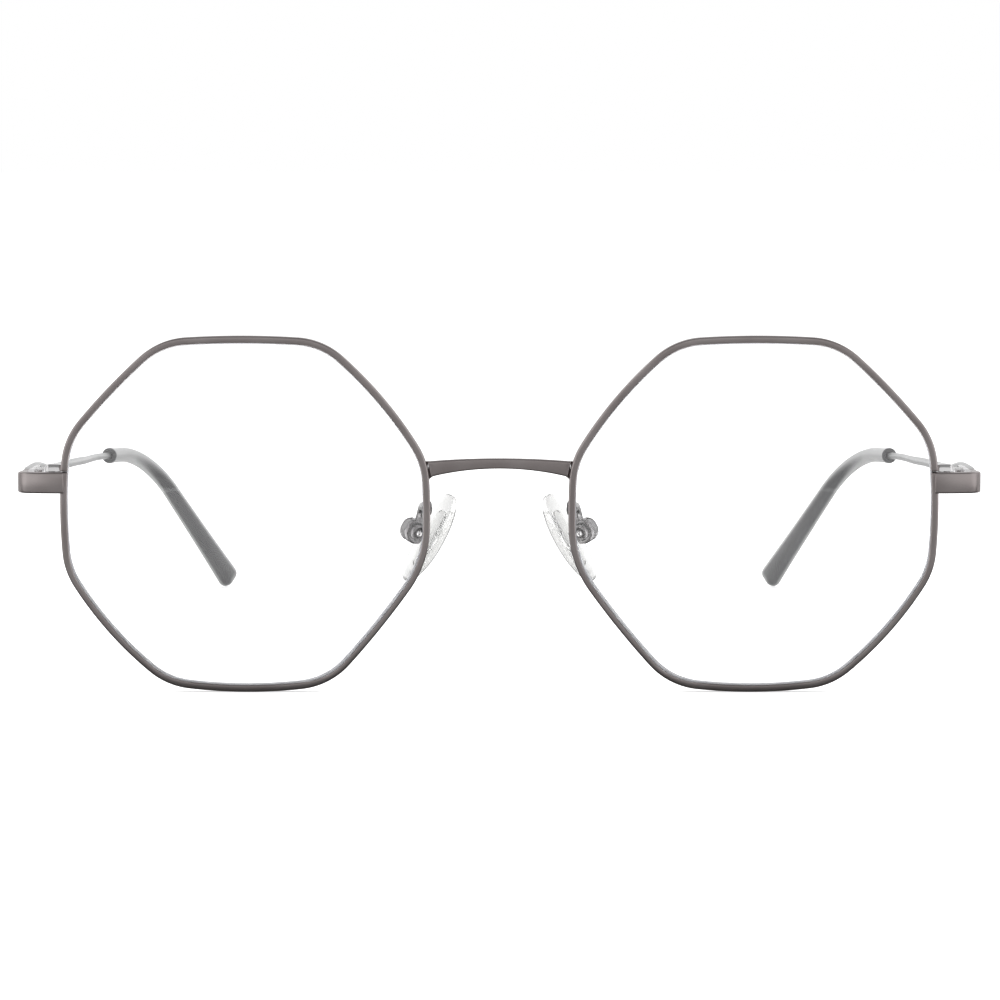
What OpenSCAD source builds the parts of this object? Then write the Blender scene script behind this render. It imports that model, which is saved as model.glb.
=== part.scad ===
// Geometric eyeglasses: a thin metal full rim frame with eight sided lenses,
// screwed rim closings, adjustable nose pads and folding temples with slip-on tips.
// X points to the wearer's left, Y from the lenses towards the ears, Z up.
// The frame stands on its rims and on its temple tips, and the table is Z = 0.

/* [Lenses] */
// Width of a lens, measured to the bottom of the rim's groove
lens_w = 51.3; // [49:0.1:53]
// Height of a lens, measured the same way
lens_h = 49.5; // [47.5:0.1:51]
// Distance between the two lenses
lens_gap = 20.8; // [19:0.1:23]
// Corner of the top edge on the temple side, from the lens centre
top_out = 11.8; // [10.5:0.1:13]
// Corner of the top edge on the nose side, from the lens centre
top_in = 10.8; // [9.5:0.1:12]
// Upper corner of the temple edge, above the lens centre
temple_up = 10.4; // [9.5:0.1:11.5]
// Lower corner of the temple edge, below the lens centre
temple_down = 7.8; // [7:0.1:9]
// Upper corner of the nose edge, above the lens centre
nose_up = 7.3; // [6.8:0.1:8.5]
// Lower corner of the nose edge, below the lens centre
nose_down = 6.8; // [6:0.1:8]
// Corner of the bottom edge on the temple side, from the lens centre
bottom_out = 11; // [10:0.1:12.5]
// Corner of the bottom edge on the nose side, from the lens centre
bottom_in = 11.7; // [10.5:0.1:13]
// How far the top edge bows out from its chord
top_bow = 0.5; // [0.3:0.05:0.9]
// Bow of the upper slanted edge on the nose side
upper_in_bow = 1.1; // [0.5:0.05:1.4]
// Bow of the nose edge
nose_bow = 0.3; // [0.2:0.05:0.6]
// Bow of the lower slanted edge on the nose side
lower_in_bow = 0.5; // [0.3:0.05:1.2]
// Bow of the bottom edge
bottom_bow = 0.9; // [0.4:0.05:1.2]
// Bow of the lower slanted edge on the temple side
lower_out_bow = 1.1; // [0.5:0.05:1.4]
// Bow of the temple edge
temple_bow = 0.5; // [0.3:0.05:0.9]
// Bow of the upper slanted edge on the temple side
upper_out_bow = 0.5; // [0.3:0.05:1.2]
// Radius of the rounded corners
corner_r = 10; // [8:0.5:11]
// Radius of the softer lower corner beside the nose
nose_corner_r = 15; // [11:0.5:17]
// Thickness of a lens
lens_t = 1.8; // [1.6:0.1:1.9]
// Radius of the front curve of a lens
lens_curve_r = 132; // [110:1:200]
// Play of the lens bevel in the groove
lens_play = 0.05; // [0.03:0.01:0.08]

/* [Rims] */
// Width of the rim wire seen from the front
rim_w = 1.05; // [0.9:0.05:1.3]
// Depth of the rim wire from front to back
rim_d = 1.9; // [1.8:0.1:2.4]
// Depth of the groove that holds the lens
groove_d = 0.45; // [0.35:0.05:0.5]
// Width of the groove at its mouth
groove_w = 1.3; // [1:0.1:1.4]
// Rounding of the rim's edges
rim_round = 0.25; // [0.1:0.05:0.3]
// Width of the slit that opens the rim for the lens
slit_w = 0.1; // [0.05:0.01:0.2]
// Gap filled by solder between soldered pieces
solder = 0.02; // [0.01:0.01:0.05]

/* [Rim closings] */
// How far a closing block stands out from the rim
lock_w = 2.3; // [2.1:0.1:2.8]
// Depth of a closing block
lock_d = 2.2; // [2:0.1:2.6]
// Height of the upper closing block
lock_h = 1; // [0.9:0.1:1.6]
// Radius of the closing screw
lock_screw_r = 0.5; // [0.4:0.05:0.6]
// Radius of the closing screw's head
lock_head_r = 0.8; // [0.7:0.05:0.9]
// Height of the closing screw's head
lock_head_h = 0.45; // [0.3:0.05:0.6]

/* [End pieces] */
// Distance from the rim to the outer face of the end piece
end_reach = 6.25; // [5.5:0.05:7]
// Height of the end piece
end_h = 3; // [2.6:0.1:3.2]
// Thickness of the end piece
end_t = 1.3; // [1.1:0.1:1.5]
// Height of the end piece's middle above the lens centre
end_rise = 4.5; // [4:0.1:5]
// How far the end piece stands in front of the rim
end_lead = 0.3; // [0.2:0.05:0.5]
// How far the end piece laps over the rim's rounded edge
end_lap = 0.22; // [0.1:0.02:0.24]
// Outer radius of the end piece's bend
end_bend_r = 2.2; // [1.8:0.1:2.6]

/* [Bridge] */
// Height of the bridge in the middle
bridge_h = 1.45; // [1.1:0.1:1.8]
// Depth of the bridge
bridge_d = 1.4; // [1.1:0.1:1.6]
// How far the bridge sits behind the front of the rims
bridge_set = 0.3; // [0.1:0.05:0.45]
// Height of the bridge's top above the lens centre
bridge_rise = 7.95; // [7.2:0.05:8.2]
// Radius of the bridge's top
bridge_top_r = 110; // [70:1:120]
// Radius of the bridge's underside
bridge_low_r = 40; // [34:1:60]

/* [Nose pads] */
// Length of a nose pad
pad_l = 14; // [12:0.5:15]
// Width of a nose pad
pad_w = 8.5; // [7:0.1:8.5]
// Thickness of a nose pad
pad_t = 1.8; // [1.5:0.1:1.9]
// Distance from the rocking axis to the middle of the pad
pad_seat = 2.45; // [2:0.05:2.5]
// How far the pad's middle lies above the rocking axis
pad_shift = 0.1; // [0:0.05:0.6]
// How much wider the pad's top is than its middle
pad_swell = 0.08; // [0:0.01:0.15]
// Sideways spread of the pad from the vertical, top towards the nose
pad_flare = 29; // [20:0.5:32]
// Turn of the pad away from the front to back direction
pad_splay = 21; // [15:1:25]
// Lean of the pad's top towards the face
pad_lean = 5; // [0:1:8]
// Radius of the crowned face of a pad
pad_crown_r = 24; // [20:1:40]
// Fullness of the pad's oval, from a rhombus at 2 through an ellipse at 1 to a block at 0
pad_full = 0.68; // [0.6:0.02:1]
// Distance of the rocking axis from the middle of the nose
pad_x = 11.9; // [11.3:0.1:12.2]
// Distance of the rocking axis behind the front of the rims
pad_y = 7.5; // [7:0.1:9]
// Depth of the rocking axis below the lens centre
pad_drop = 3.15; // [2:0.05:4]
// Thickness of the tab that the pad rocks on
tab_t = 1.1; // [0.9:0.1:1.3]
// Radius of the tab's round end
tab_r = 0.95; // [0.85:0.05:1]
// Thickness of the stiff plate inside the pad
core_t = 0.6; // [0.4:0.1:0.8]
// Length of the stiff plate inside the pad
core_l = 9; // [7:0.5:10]
// Width of the stiff plate inside the pad
core_w = 3.6; // [3:0.1:4.5]
// Thickness of each cheek of the pad box
cheek_t = 0.55; // [0.4:0.05:0.8]
// Half height of the tab's neck
neck_half = 0.75; // [0.6:0.05:0.8]
// Radius of the pad screw
pad_screw_r = 0.5; // [0.4:0.05:0.55]
// Radius of the pad screw's head
pad_head_r = 0.85; // [0.7:0.05:0.9]
// Height of the pad screw's head
pad_head_h = 0.4; // [0.3:0.05:0.5]
// Radius of the pad arm's wire
arm_r = 0.6; // [0.5:0.05:0.7]
// Bend radius of the pad arm
arm_bend_r = 1.8; // [1.4:0.1:2.4]
// Distance of the arm's foot from the middle of the nose
arm_x = 10.5; // [10.3:0.05:10.8]
// Height of the arm's foot above the lens centre
arm_rise = 0.75; // [0.5:0.05:1.2]
// Width of the flattened foot that is soldered to the rim
foot_w = 1; // [0.8:0.1:1.2]
// Height of the flattened foot
foot_h = 2.2; // [1.8:0.1:2.6]
// Thickness of the flattened foot
foot_t = 0.5; // [0.4:0.05:0.8]
// How far the foot's middle lies nearer to the nose than the wire
foot_in = 0.2; // [0.1:0.05:0.25]

/* [Hinges] */
// Distance from the front of the rims to the hinge axis
hinge_y = 8.5; // [8:0.1:10]
// Radius of the hinge barrel
barrel_r = 1.3; // [1.1:0.05:1.3]
// Height of the hinge barrel
barrel_h = 2.9; // [2.8:0.1:3.8]
// Height of the middle knuckle
knuckle_h = 1.1; // [0.9:0.05:1.3]
// Length of a hinge leaf
leaf_l = 5; // [4:0.5:6]
// Thickness of a hinge leaf
leaf_t = 0.8; // [0.6:0.05:0.9]
// Radius of the hinge screw
hinge_screw_r = 0.55; // [0.45:0.05:0.6]
// Radius of the hinge screw's head
hinge_head_r = 0.9; // [0.75:0.05:1]
// Height of the hinge screw's head
hinge_head_h = 0.4; // [0.3:0.05:0.5]
// Radial play of a turning joint
turn_play = 0.05; // [0.03:0.01:0.08]
// Play between the faces of a turning joint
face_play = 0.05; // [0.03:0.01:0.08]

/* [Temples] */
// Length of a temple from its butt to the end of its tip
temple_l = 143.3; // [138:0.1:148]
// Height of the flat butt of a temple
butt_h = 3; // [2.6:0.1:3.2]
// Thickness of the flat butt
butt_t = 1.2; // [1:0.05:1.3]
// Length of the flat butt
butt_l = 10; // [8:0.5:14]
// Length of the taper behind the butt
taper_l = 16; // [10:1:24]
// Radius of the temple wire at its thick end
wire_r = 0.7; // [0.6:0.05:0.8]
// Radius of the temple wire where it enters the tip
wire_end_r = 0.55; // [0.45:0.05:0.6]
// Slope of the temple, falling to the back, in degrees
temple_fall = 2.75; // [2:0.05:3.5]
// Convergence of the temples in degrees
temple_toe = 0.65; // [0:0.05:1]
// Distance from the butt to the ear bend
bend_at = 102; // [96:0.5:106]
// Length of the ear bend
bend_l = 18; // [14:0.5:24]
// Angle of the ear bend
bend_turn = 44; // [35:1:48]
// Distance from the butt to the inward sweep
sweep_at = 85; // [78:0.5:90]
// Length of the inward sweep
sweep_l = 34; // [28:0.5:42]
// Angle of the inward sweep
sweep_turn = 35; // [20:1:40]

/* [Temple tips] */
// Length of a tip
tip_l = 47; // [44:0.1:60]
// Radius of a tip where the wire enters
tip_r = 1.17; // [1.1:0.01:1.4]
// Half height of a tip at its end
tip_half_h = 2.1; // [1.8:0.05:2.5]
// Half width of a tip at its end
tip_half_w = 1.3; // [1.25:0.05:1.7]
// How late the tip swells, from evenly at 1 to near its end only
tip_swell = 2.8; // [1:0.1:4]
// Length of tip past the end of the wire
tip_solid_l = 8; // [5:0.5:12]
// Play of the wire in the tip
tip_play = 0.02; // [0.01:0.01:0.05]

/* [Hidden] */
$fn = 96;

gunmetal = [0.45, 0.42, 0.43];
bright = [0.72, 0.71, 0.71];
clear = [0.92, 0.94, 0.95, 0.4];
tip_grey = [0.33, 0.33, 0.34];

eps = 0.01;
far = 40;
fine_fn = 720;

// Places of the lens and of what is set out from it
rim_out = rim_w - groove_d;
lens_x = (lens_gap + lens_w) / 2;
lens_z = lens_h / 2 + rim_out;
rim_mid = rim_d / 2;

// The outline lies in a plane with x away from the nose and y up, seen from the front.
// Its eight corners and edges run from the top edge's outer corner towards the nose.
corner = [
    [top_out, lens_h / 2 - top_bow],
    [-top_in, lens_h / 2 - top_bow],
    [-(lens_w / 2 - nose_bow), nose_up],
    [-(lens_w / 2 - nose_bow), -nose_down],
    [-bottom_in, -(lens_h / 2 - bottom_bow)],
    [bottom_out, -(lens_h / 2 - bottom_bow)],
    [lens_w / 2 - temple_bow, -temple_down],
    [lens_w / 2 - temple_bow, temple_up]
];
bow = [top_bow, upper_in_bow, nose_bow, lower_in_bow,
       bottom_bow, lower_out_bow, temple_bow, upper_out_bow];
sides = len(corner);
function round_r(i) = i == 3 ? nose_corner_r : corner_r;
function next(i) = (i + 1) % sides;
function last(i) = (i + sides - 1) % sides;

// An edge is an arc through two corners: its radius and its centre
function edge_len(i) = norm(corner[next(i)] - corner[i]);
edge_r = [for (i = [0 : sides - 1]) (pow(edge_len(i) / 2, 2) + pow(bow[i], 2)) / (2 * bow[i])];
function inward(v) = [-v[1], v[0]] / norm(v);
edge_c = [for (i = [0 : sides - 1])
    (corner[i] + corner[next(i)]) / 2
    + inward(corner[next(i)] - corner[i]) * (edge_r[i] - bow[i])];

// A corner is an arc inside both edges: its centre is where two shrunk edges cross
function cross_point(a, ra, b, rb) =
    let (d = norm(b - a), e = (b - a) / d,
         along = (ra * ra - rb * rb + d * d) / (2 * d),
         off = sqrt(ra * ra - along * along))
    [a + e * along + inward(e) * off, a + e * along - inward(e) * off];
function nearer(pair, p) = norm(pair[0] - p) < norm(pair[1] - p) ? pair[0] : pair[1];
round_c = [for (i = [0 : sides - 1])
    nearer(cross_point(edge_c[last(i)], edge_r[last(i)] - round_r(i),
                       edge_c[i], edge_r[i] - round_r(i)), corner[i])];

// Directions at which each arc starts and ends, turning to the left
function heading(v) = atan2(v[1], v[0]);
function turned(a, b) = b - a - 360 * floor((b - a) / 360);
round_from = [for (i = [0 : sides - 1]) heading(round_c[i] - edge_c[last(i)])];
edge_from = [for (i = [0 : sides - 1]) heading(round_c[i] - edge_c[i])];
arcs = [for (i = [0 : sides - 1]) each [
    [round_c[i], round_r(i), round_from[i], turned(round_from[i], edge_from[i])],
    [edge_c[i], edge_r[i], edge_from[i], turned(edge_from[i], round_from[next(i)])]
]];

// Stations round the outline, and the outline as points moved out by a distance
arc_steps = 6;
stations = [for (a = arcs) for (k = [0 : arc_steps - 1]) [a[0], a[1], a[2] + a[3] * k / arc_steps]];
function outline(out) = [for (s = stations) s[0] + (s[1] + out) * [cos(s[2]), sin(s[2])]];

// The eyewire closes at its temple side: heights of the slit and of the end piece
end_z = lens_z + end_rise;
slit_z = end_z + end_h / 2 + slit_w / 2 + solder;
rim_edge_x = lens_x + lens_w / 2 + rim_out;
lock_x = rim_edge_x + lock_w / 2 + lock_screw_r / 4;
lock_y = end_t - end_lead + lock_d / 2;
end_x = rim_edge_x + end_reach;
end_in_x = end_x - end_t;

// Hinge axis and the faces that meet there
hinge_x = end_in_x - barrel_r - 2 * face_play;
hinge_z = end_z + face_play;
butt_x = end_in_x + butt_t / 2;

// A point of the temple's centre line, from its slope and its direction along the wire
function clamp01(t) = min(1, max(0, t));
function fall_at(s) = -temple_fall * clamp01((s - butt_l / 2) / butt_l)
                      - bend_turn * clamp01((s - bend_at) / bend_l);
function toe_at(s) = temple_toe * clamp01((s - butt_l / 2) / butt_l)
                     + sweep_turn * clamp01((s - sweep_at) / sweep_l);
function along(s) = [-sin(toe_at(s)) * cos(fall_at(s)),
                     cos(toe_at(s)) * cos(fall_at(s)), sin(fall_at(s))];
step_l = 0.5;
steps = floor(temple_l / step_l);
walk = [for (i = 0, p = [butt_x, hinge_y + face_play, hinge_z]; i <= steps + 1;
             p = p + step_l * along((i + 0.5) * step_l), i = i + 1) p];
function place(s) = let (i = min(steps, floor(s / step_l)))
    walk[i] + (walk[i + 1] - walk[i]) * (s / step_l - i);

// One ring of points round the centre line: a rounded rectangle of four corner arcs
quarter = 4;
function ring(s, half_w, half_h, r) =
    let (c = place(s), d = along(s), side = [d[1], -d[0], 0] / norm([d[0], d[1]]), up = cross(side, d))
    [for (q = [0 : 3]) for (k = [0 : quarter - 1])
        let (t = 90 * (q + (k + 0.5) / quarter),
             sx = (q == 0 || q == 3) ? 1 : -1, sy = q < 2 ? 1 : -1)
        c + side * (sx * (half_w - r) + r * cos(t)) + up * (sy * (half_h - r) + r * sin(t))];
function reversed(v) = [for (i = [len(v) - 1 : -1 : 0]) v[i]];
function mix(a, b, t) = a + (b - a) * clamp01(t);

// Depth of the whole frame, for the origin in the middle of its footprint
edge_sag = lens_curve_r - sqrt(pow(lens_curve_r, 2) - pow(lens_h / 2, 2));
front_y = rim_mid - lens_t / 2 - edge_sag;
back_y = place(temple_l)[1] + tip_half_h * sin(bend_turn + temple_fall) / 2;
middle_y = (front_y + back_y) / 2;

// The whole object is moved so that the middle of its footprint is the origin.
// The left side is modelled, and the right side mirrors it.
module seat(side) {
    translate([0, -middle_y, 0])
        if (side == "right") mirror([1, 0, 0]) children();
        else children();
}

// Turns the outline's plane upright, its front at Y = 0 and its depth running back
module upright() {
    translate([lens_x, 0, lens_z]) rotate([90, 0, 0]) children();
}

// A plate cut to the rim's outline, from one depth to another
module plate(out, from_y, to_y) {
    upright() translate([0, 0, -to_y])
        linear_extrude(to_y - from_y) polygon(outline(out));
}

// A profile carried round the whole outline: x is measured out from the groove's bottom
// and y is the height over the front plane. Its points turn to the left.
module eyewire(profile) {
    n = len(profile);
    m = len(stations);
    rows = [for (p = profile) outline(p[0])];
    points = [for (i = [0 : m - 1]) for (k = [0 : n - 1]) [rows[k][i][0], rows[k][i][1], profile[k][1]]];
    faces = [for (i = [0 : m - 1]) for (k = [0 : n - 1])
        let (a = i * n + k, b = i * n + (k + 1) % n, c = (i + 1) % m * n + k, d = (i + 1) % m * n + (k + 1) % n)
        each [[a, b, d], [a, d, c]]];
    polyhedron(points, faces);
}

module rim(side) {
    back = -rim_d;
    half_mouth = groove_w / 2;
    color(gunmetal) seat(side) difference() {
        upright() eyewire([
            [rim_out, -rim_round], [rim_out - rim_round, 0],
            [-groove_d + rim_round, 0], [-groove_d, -rim_round],
            [-groove_d, -rim_mid + half_mouth], [0, -rim_mid], [-groove_d, -rim_mid - half_mouth],
            [-groove_d, back + rim_round], [-groove_d + rim_round, back],
            [rim_out - rim_round, back], [rim_out, back + rim_round]
        ]);
        translate([lens_x + lens_w / 4, -rim_d, slit_z - slit_w / 2])
            cube([lens_w / 2, 3 * rim_d, slit_w]);
    }
}

// The lens is a curved shell inside a flat sided edge with a pointed bevel round it
module lens(side) {
    edge_out = -groove_d - lens_play;
    bevel_h = groove_w / 2 - 2 * lens_play;
    edge = [[edge_out, far], [edge_out, -rim_mid + bevel_h], [-lens_play, -rim_mid],
            [edge_out, -rim_mid - bevel_h], [edge_out, -far]];
    color(clear) seat(side) difference() {
        intersection() {
            upright() skin([for (e = edge) [for (p = outline(e[0])) [p[0], p[1], e[1]]]]);
            lens_ball(lens_curve_r);
        }
        lens_ball(lens_curve_r - lens_t);
    }
}

module lens_ball(r) {
    translate([lens_x, front_y + lens_curve_r, lens_z]) rotate([90, 0, 0]) sphere(r, $fn = fine_fn);
}

// The bridge is a bar between two arcs, cut to both rims
module bridge() {
    top_z = lens_z + bridge_rise;
    half = lens_gap / 2;
    color(gunmetal) seat("left") difference() {
        intersection() {
            translate([-half, bridge_set, lens_z]) cube([2 * half, bridge_d, lens_h]);
            translate([0, bridge_set + bridge_d + 1, top_z - bridge_top_r]) rotate([90, 0, 0])
                cylinder(r = bridge_top_r, h = bridge_d + 2, $fn = fine_fn);
        }
        translate([0, bridge_set + bridge_d + 1, top_z - bridge_h - bridge_low_r]) rotate([90, 0, 0])
            cylinder(r = bridge_low_r, h = bridge_d + 2, $fn = fine_fn);
        plate(rim_out + solder, -1, rim_d + 1);
        mirror([1, 0, 0]) plate(rim_out + solder, -1, rim_d + 1);
    }
}

// A closing block stands behind the end piece against the outside of the rim
module lock_block(low_z, high_z) {
    difference() {
        translate([rim_edge_x - lock_w / 2, lock_y - lock_d / 2, low_z])
            cube([1.5 * lock_w, lock_d, high_z - low_z]);
        plate(rim_out + solder, -1, lock_y + lock_d);
    }
}

module lock_lower(side) {
    low_z = end_z - end_h / 2;
    color(gunmetal) seat(side) difference() {
        lock_block(low_z, slit_z - slit_w / 2);
        translate([lock_x, lock_y, low_z - 1]) cylinder(r = lock_screw_r + eps, h = end_h + 2);
        translate([lock_x, lock_y, low_z - 1]) cylinder(r = lock_head_r + turn_play, h = lock_head_h + 1);
    }
}

module lock_upper(side) {
    color(gunmetal) seat(side) difference() {
        lock_block(slit_z + slit_w / 2, slit_z + slit_w / 2 + lock_h);
        translate([lock_x, lock_y, slit_z - 1]) cylinder(r = lock_screw_r + eps, h = lock_h + 2);
    }
}

// A small slotted screw along Z, its head's outer face at the origin
module slotted_screw(shank_r, length, head_r, head_h) {
    slot_w = head_r / 3;
    difference() {
        union() {
            cylinder(r = head_r, h = head_h);
            cylinder(r = shank_r, h = length);
        }
        translate([-head_r - 1, -slot_w / 2, -1]) cube([2 * head_r + 2, slot_w, 1 + head_h / 2]);
    }
}

module lock_screw(side) {
    low_z = end_z - end_h / 2;
    color(bright) seat(side) translate([lock_x, lock_y, low_z])
        slotted_screw(lock_screw_r, slit_z + slit_w / 2 + lock_h - low_z, lock_head_r, lock_head_h);
}

// The end piece laps over the rim, runs out and turns back to the hinge
module end_piece(side) {
    inner_r = end_bend_r - end_t;
    start_x = rim_edge_x - end_lap;
    color(gunmetal) seat(side) difference() {
        translate([0, 0, end_z - end_h / 2]) linear_extrude(end_h) {
            translate([start_x, -end_lead]) square([end_x - end_bend_r - start_x, end_t]);
            translate([end_in_x, end_bend_r - end_lead])
                square([end_t, hinge_y - face_play - end_bend_r + end_lead]);
            translate([end_x - end_bend_r, end_bend_r - end_lead]) difference() {
                circle(end_bend_r);
                circle(inner_r);
                translate([-far, 0]) square([2 * far, far]);
                translate([-far, -far]) square([far, 2 * far]);
            }
        }
        plate(rim_out + solder, -solder, rim_d + 1);
    }
}

// The pad's own frame: x away from the nose, y from front to back, z up along the pad,
// with the rocking axis along y
module pad_frame() {
    translate([pad_x, pad_y, lens_z - pad_drop])
        rotate([-pad_lean, 0, 0]) rotate([0, -pad_flare, 0]) rotate([0, 0, -pad_splay]) children();
}

// The pad box in that frame, measured from the rocking axis
box_front = -0.75;
box_back = 2.3;
box_low = -1.75;
box_top = 1.6;
box_round = 0.9;
box_top_wall = 0.5;
box_back_wall = 0.65;
box_half = tab_t / 2 + face_play + cheek_t;

// Where the arm enters the box: its distance from the rocking axis towards the nose and
// towards the front, and the spare length of wire that is cut off there
pad_arm_in = 0.25;
pad_arm_lead = 0.1;
arm_spare_l = 4;

module box_shape(y0, y1) {
    translate([0, y1, 0]) rotate([90, 0, 0]) linear_extrude(y1 - y0) {
        translate([box_front, box_low]) square([box_back - box_round - box_front, box_top - box_low]);
        translate([box_front, box_low + box_round])
            square([box_back - box_front, box_top - box_low - 2 * box_round]);
        for (z = [box_low + box_round, box_top - box_round]) translate([box_back - box_round, z])
            circle(box_round);
    }
}

// The pad box is open towards the nose and downwards, so that the tab can rock in it
module pad_box(side) {
    color(bright) seat(side) pad_frame() difference() {
        box_shape(-box_half, box_half);
        translate([-far, -tab_t / 2 - face_play, -far])
            cube([far + box_back - box_back_wall, tab_t + 2 * face_play, far + box_top - box_top_wall]);
        translate([0, box_half + 1, 0]) rotate([90, 0, 0])
            cylinder(r = pad_screw_r + eps, h = 2 * box_half + 2);
    }
}

module pad_screw(side) {
    color(bright) seat(side) pad_frame() translate([0, -box_half - pad_head_h, 0]) rotate([-90, 0, 0])
        slotted_screw(pad_screw_r, 2 * box_half + pad_head_h, pad_head_r, pad_head_h);
}

// The stiff plate and its tab, with a given play all round
module core_shape(play) {
    half_l = core_l / 2 - core_w / 2;
    translate([-pad_seat, 0, pad_shift]) rotate([0, 90, 0])
        translate([0, 0, -core_t / 2 - play]) linear_extrude(core_t + 2 * play) {
            square([2 * half_l, core_w + 2 * play], center = true);
            for (s = [-1, 1]) translate([s * half_l, 0]) circle(core_w / 2 + play);
        }
    neck = neck_half + play;
    translate([-pad_seat, -tab_t / 2 - play, -neck]) cube([pad_seat, tab_t + 2 * play, 2 * neck]);
}

module pad_core(side) {
    color(clear) seat(side) pad_frame() difference() {
        union() {
            core_shape(0);
            translate([0, tab_t / 2, 0]) rotate([90, 0, 0]) cylinder(r = tab_r, h = tab_t);
        }
        translate([0, far / 2, 0]) rotate([90, 0, 0])
            cylinder(r = pad_screw_r + turn_play, h = far);
    }
}

// The soft pad has an oval outline and a crowned face towards the nose
module nose_pad(side) {
    oval_step = 9;
    oval = [for (t = [0 : oval_step : 360 - oval_step])
        let (x = sign(cos(t)) * pow(abs(cos(t)), pad_full), y = sign(sin(t)) * pow(abs(sin(t)), pad_full))
        [pad_l / 2 * x, pad_w / 2 * y * (1 - pad_swell * x)]];
    color(clear) seat(side) pad_frame() difference() {
        translate([-pad_seat, 0, pad_shift]) intersection() {
            rotate([0, 90, 0]) translate([0, 0, -pad_t / 2]) linear_extrude(pad_t) polygon(oval);
            translate([pad_crown_r - pad_t / 2, 0, 0]) sphere(pad_crown_r, $fn = fine_fn / 2);
        }
        core_shape(solder);
    }
}

// The arm runs back from its foot on the rim, bends down and ends in the pad box
module pad_arm(side) {
    foot = [arm_x, rim_d + solder];
    head = [pad_x - pad_arm_in, pad_y - pad_arm_lead];
    reach = norm(head - foot);
    arm_z = lens_z + arm_rise;
    leg_r = arm_r - eps;
    color(gunmetal) seat(side) difference() {
        translate([foot[0], foot[1], arm_z]) rotate([0, 0, heading(head - foot)]) union() {
            translate([foot_t / 2, 0, 0]) rotate([0, 90, 0]) cylinder(r = leg_r, h = reach - arm_bend_r - foot_t / 2);
            translate([reach - arm_bend_r, 0, -arm_bend_r]) rotate([90, 0, 0])
                rotate_extrude(angle = 90) translate([arm_bend_r, 0]) circle(arm_r);
            translate([reach, 0, -arm_bend_r - arm_spare_l]) cylinder(r = leg_r, h = arm_spare_l);
            translate([-1, foot_in - foot_w / 2, -foot_h / 2]) cube([1 + foot_t, foot_w, foot_h]);
        }
        translate([0, rim_d + solder - far, 0]) cube([far, far, far]);
        pad_frame() translate([-far / 2, -far / 2, box_top - far + solder]) cube([far, far, far]);
    }
}

// Height of the underside of a knuckle: 0 is the lowest of the three
outer_h = (barrel_h - knuckle_h) / 2 - face_play;
function knuckle_z(i) = hinge_z - barrel_h / 2 + (i == 0 ? 0 : i == 1 ? outer_h + face_play
                                                  : outer_h + knuckle_h + 2 * face_play);

module hinge_front(side) {
    color(gunmetal) seat(side) difference() {
        union() {
            difference() {
                translate([end_in_x - leaf_t, hinge_y - leaf_l, hinge_z - barrel_h / 2])
                    cube([leaf_t, leaf_l, barrel_h]);
                translate([hinge_x, hinge_y, knuckle_z(1) - face_play])
                    cylinder(r = barrel_r + face_play, h = knuckle_h + 2 * face_play);
            }
            for (i = [0, 2]) translate([hinge_x, hinge_y, knuckle_z(i)]) cylinder(r = barrel_r, h = outer_h);
        }
        translate([hinge_x, hinge_y, hinge_z - far / 2]) cylinder(r = hinge_screw_r + eps, h = far);
        translate([hinge_x, hinge_y, hinge_z + barrel_h / 2 - hinge_head_h])
            cylinder(r = hinge_head_r + turn_play, h = far);
    }
}

module hinge_temple(side) {
    color(gunmetal) seat(side) difference() {
        union() {
            difference() {
                translate([end_in_x - leaf_t, hinge_y + face_play, hinge_z - barrel_h / 2])
                    cube([leaf_t, leaf_l, barrel_h]);
                for (i = [0, 2]) translate([hinge_x, hinge_y, knuckle_z(i) - face_play])
                    cylinder(r = barrel_r + face_play, h = outer_h + 2 * face_play);
            }
            translate([hinge_x, hinge_y, knuckle_z(1)]) cylinder(r = barrel_r, h = knuckle_h);
        }
        translate([hinge_x, hinge_y, hinge_z - far / 2]) cylinder(r = hinge_screw_r + turn_play, h = far);
    }
}

module hinge_screw(side) {
    color(bright) seat(side) translate([hinge_x, hinge_y, hinge_z + barrel_h / 2]) mirror([0, 0, 1])
        slotted_screw(hinge_screw_r, barrel_h, hinge_head_r, hinge_head_h);
}

// A closed skin over a row of rings, with flat ends
module skin(rings) {
    n = len(rings[0]);
    points = [for (r = rings) each r];
    first_cap = [for (j = [n - 1 : -1 : 0]) j];
    last_cap = [for (j = [0 : n - 1]) (len(rings) - 1) * n + j];
    walls = [for (i = [0 : len(rings) - 2]) for (j = [0 : n - 1])
        let (a = i * n + j, b = i * n + (j + 1) % n) each [[a, b + n, a + n], [a, b, b + n]]];
    polyhedron(points, concat([first_cap, last_cap], walls));
}

// The temple is one wire: a flat butt, a taper, a long wire and a core inside the tip
core_end = temple_l - tip_solid_l;
tip_at = temple_l - tip_l;
butt_round = 0.3;
function wire_ring(s) =
    let (t = (s - butt_l) / taper_l,
         r = mix(wire_r, wire_end_r, (s - butt_l - taper_l) / (tip_at - butt_l - taper_l)),
         w = mix(butt_t / 2, r, t), h = mix(butt_h / 2, r, t))
    ring(s, w, h, mix(butt_round, r, t));

// Places along the wire, evenly spaced from one to another
function spread(from, to, pitch) = let (n = ceil((to - from) / pitch))
    [for (i = [1 : n]) from + (to - from) * i / n];

butt_pitch_l = 2.5;
wire_pitch_l = 4;
tip_pitch_l = 2;
bare_places = concat([0, butt_l / 2], spread(butt_l / 2, butt_l, butt_pitch_l),
                     spread(butt_l, butt_l + taper_l, wire_pitch_l),
                     spread(butt_l + taper_l, tip_at, wire_pitch_l));
core_places = spread(tip_at, core_end, tip_pitch_l);

module temple(side) {
    color(bright) seat(side) skin([for (s = concat(bare_places, core_places)) wire_ring(s)]);
}

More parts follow.
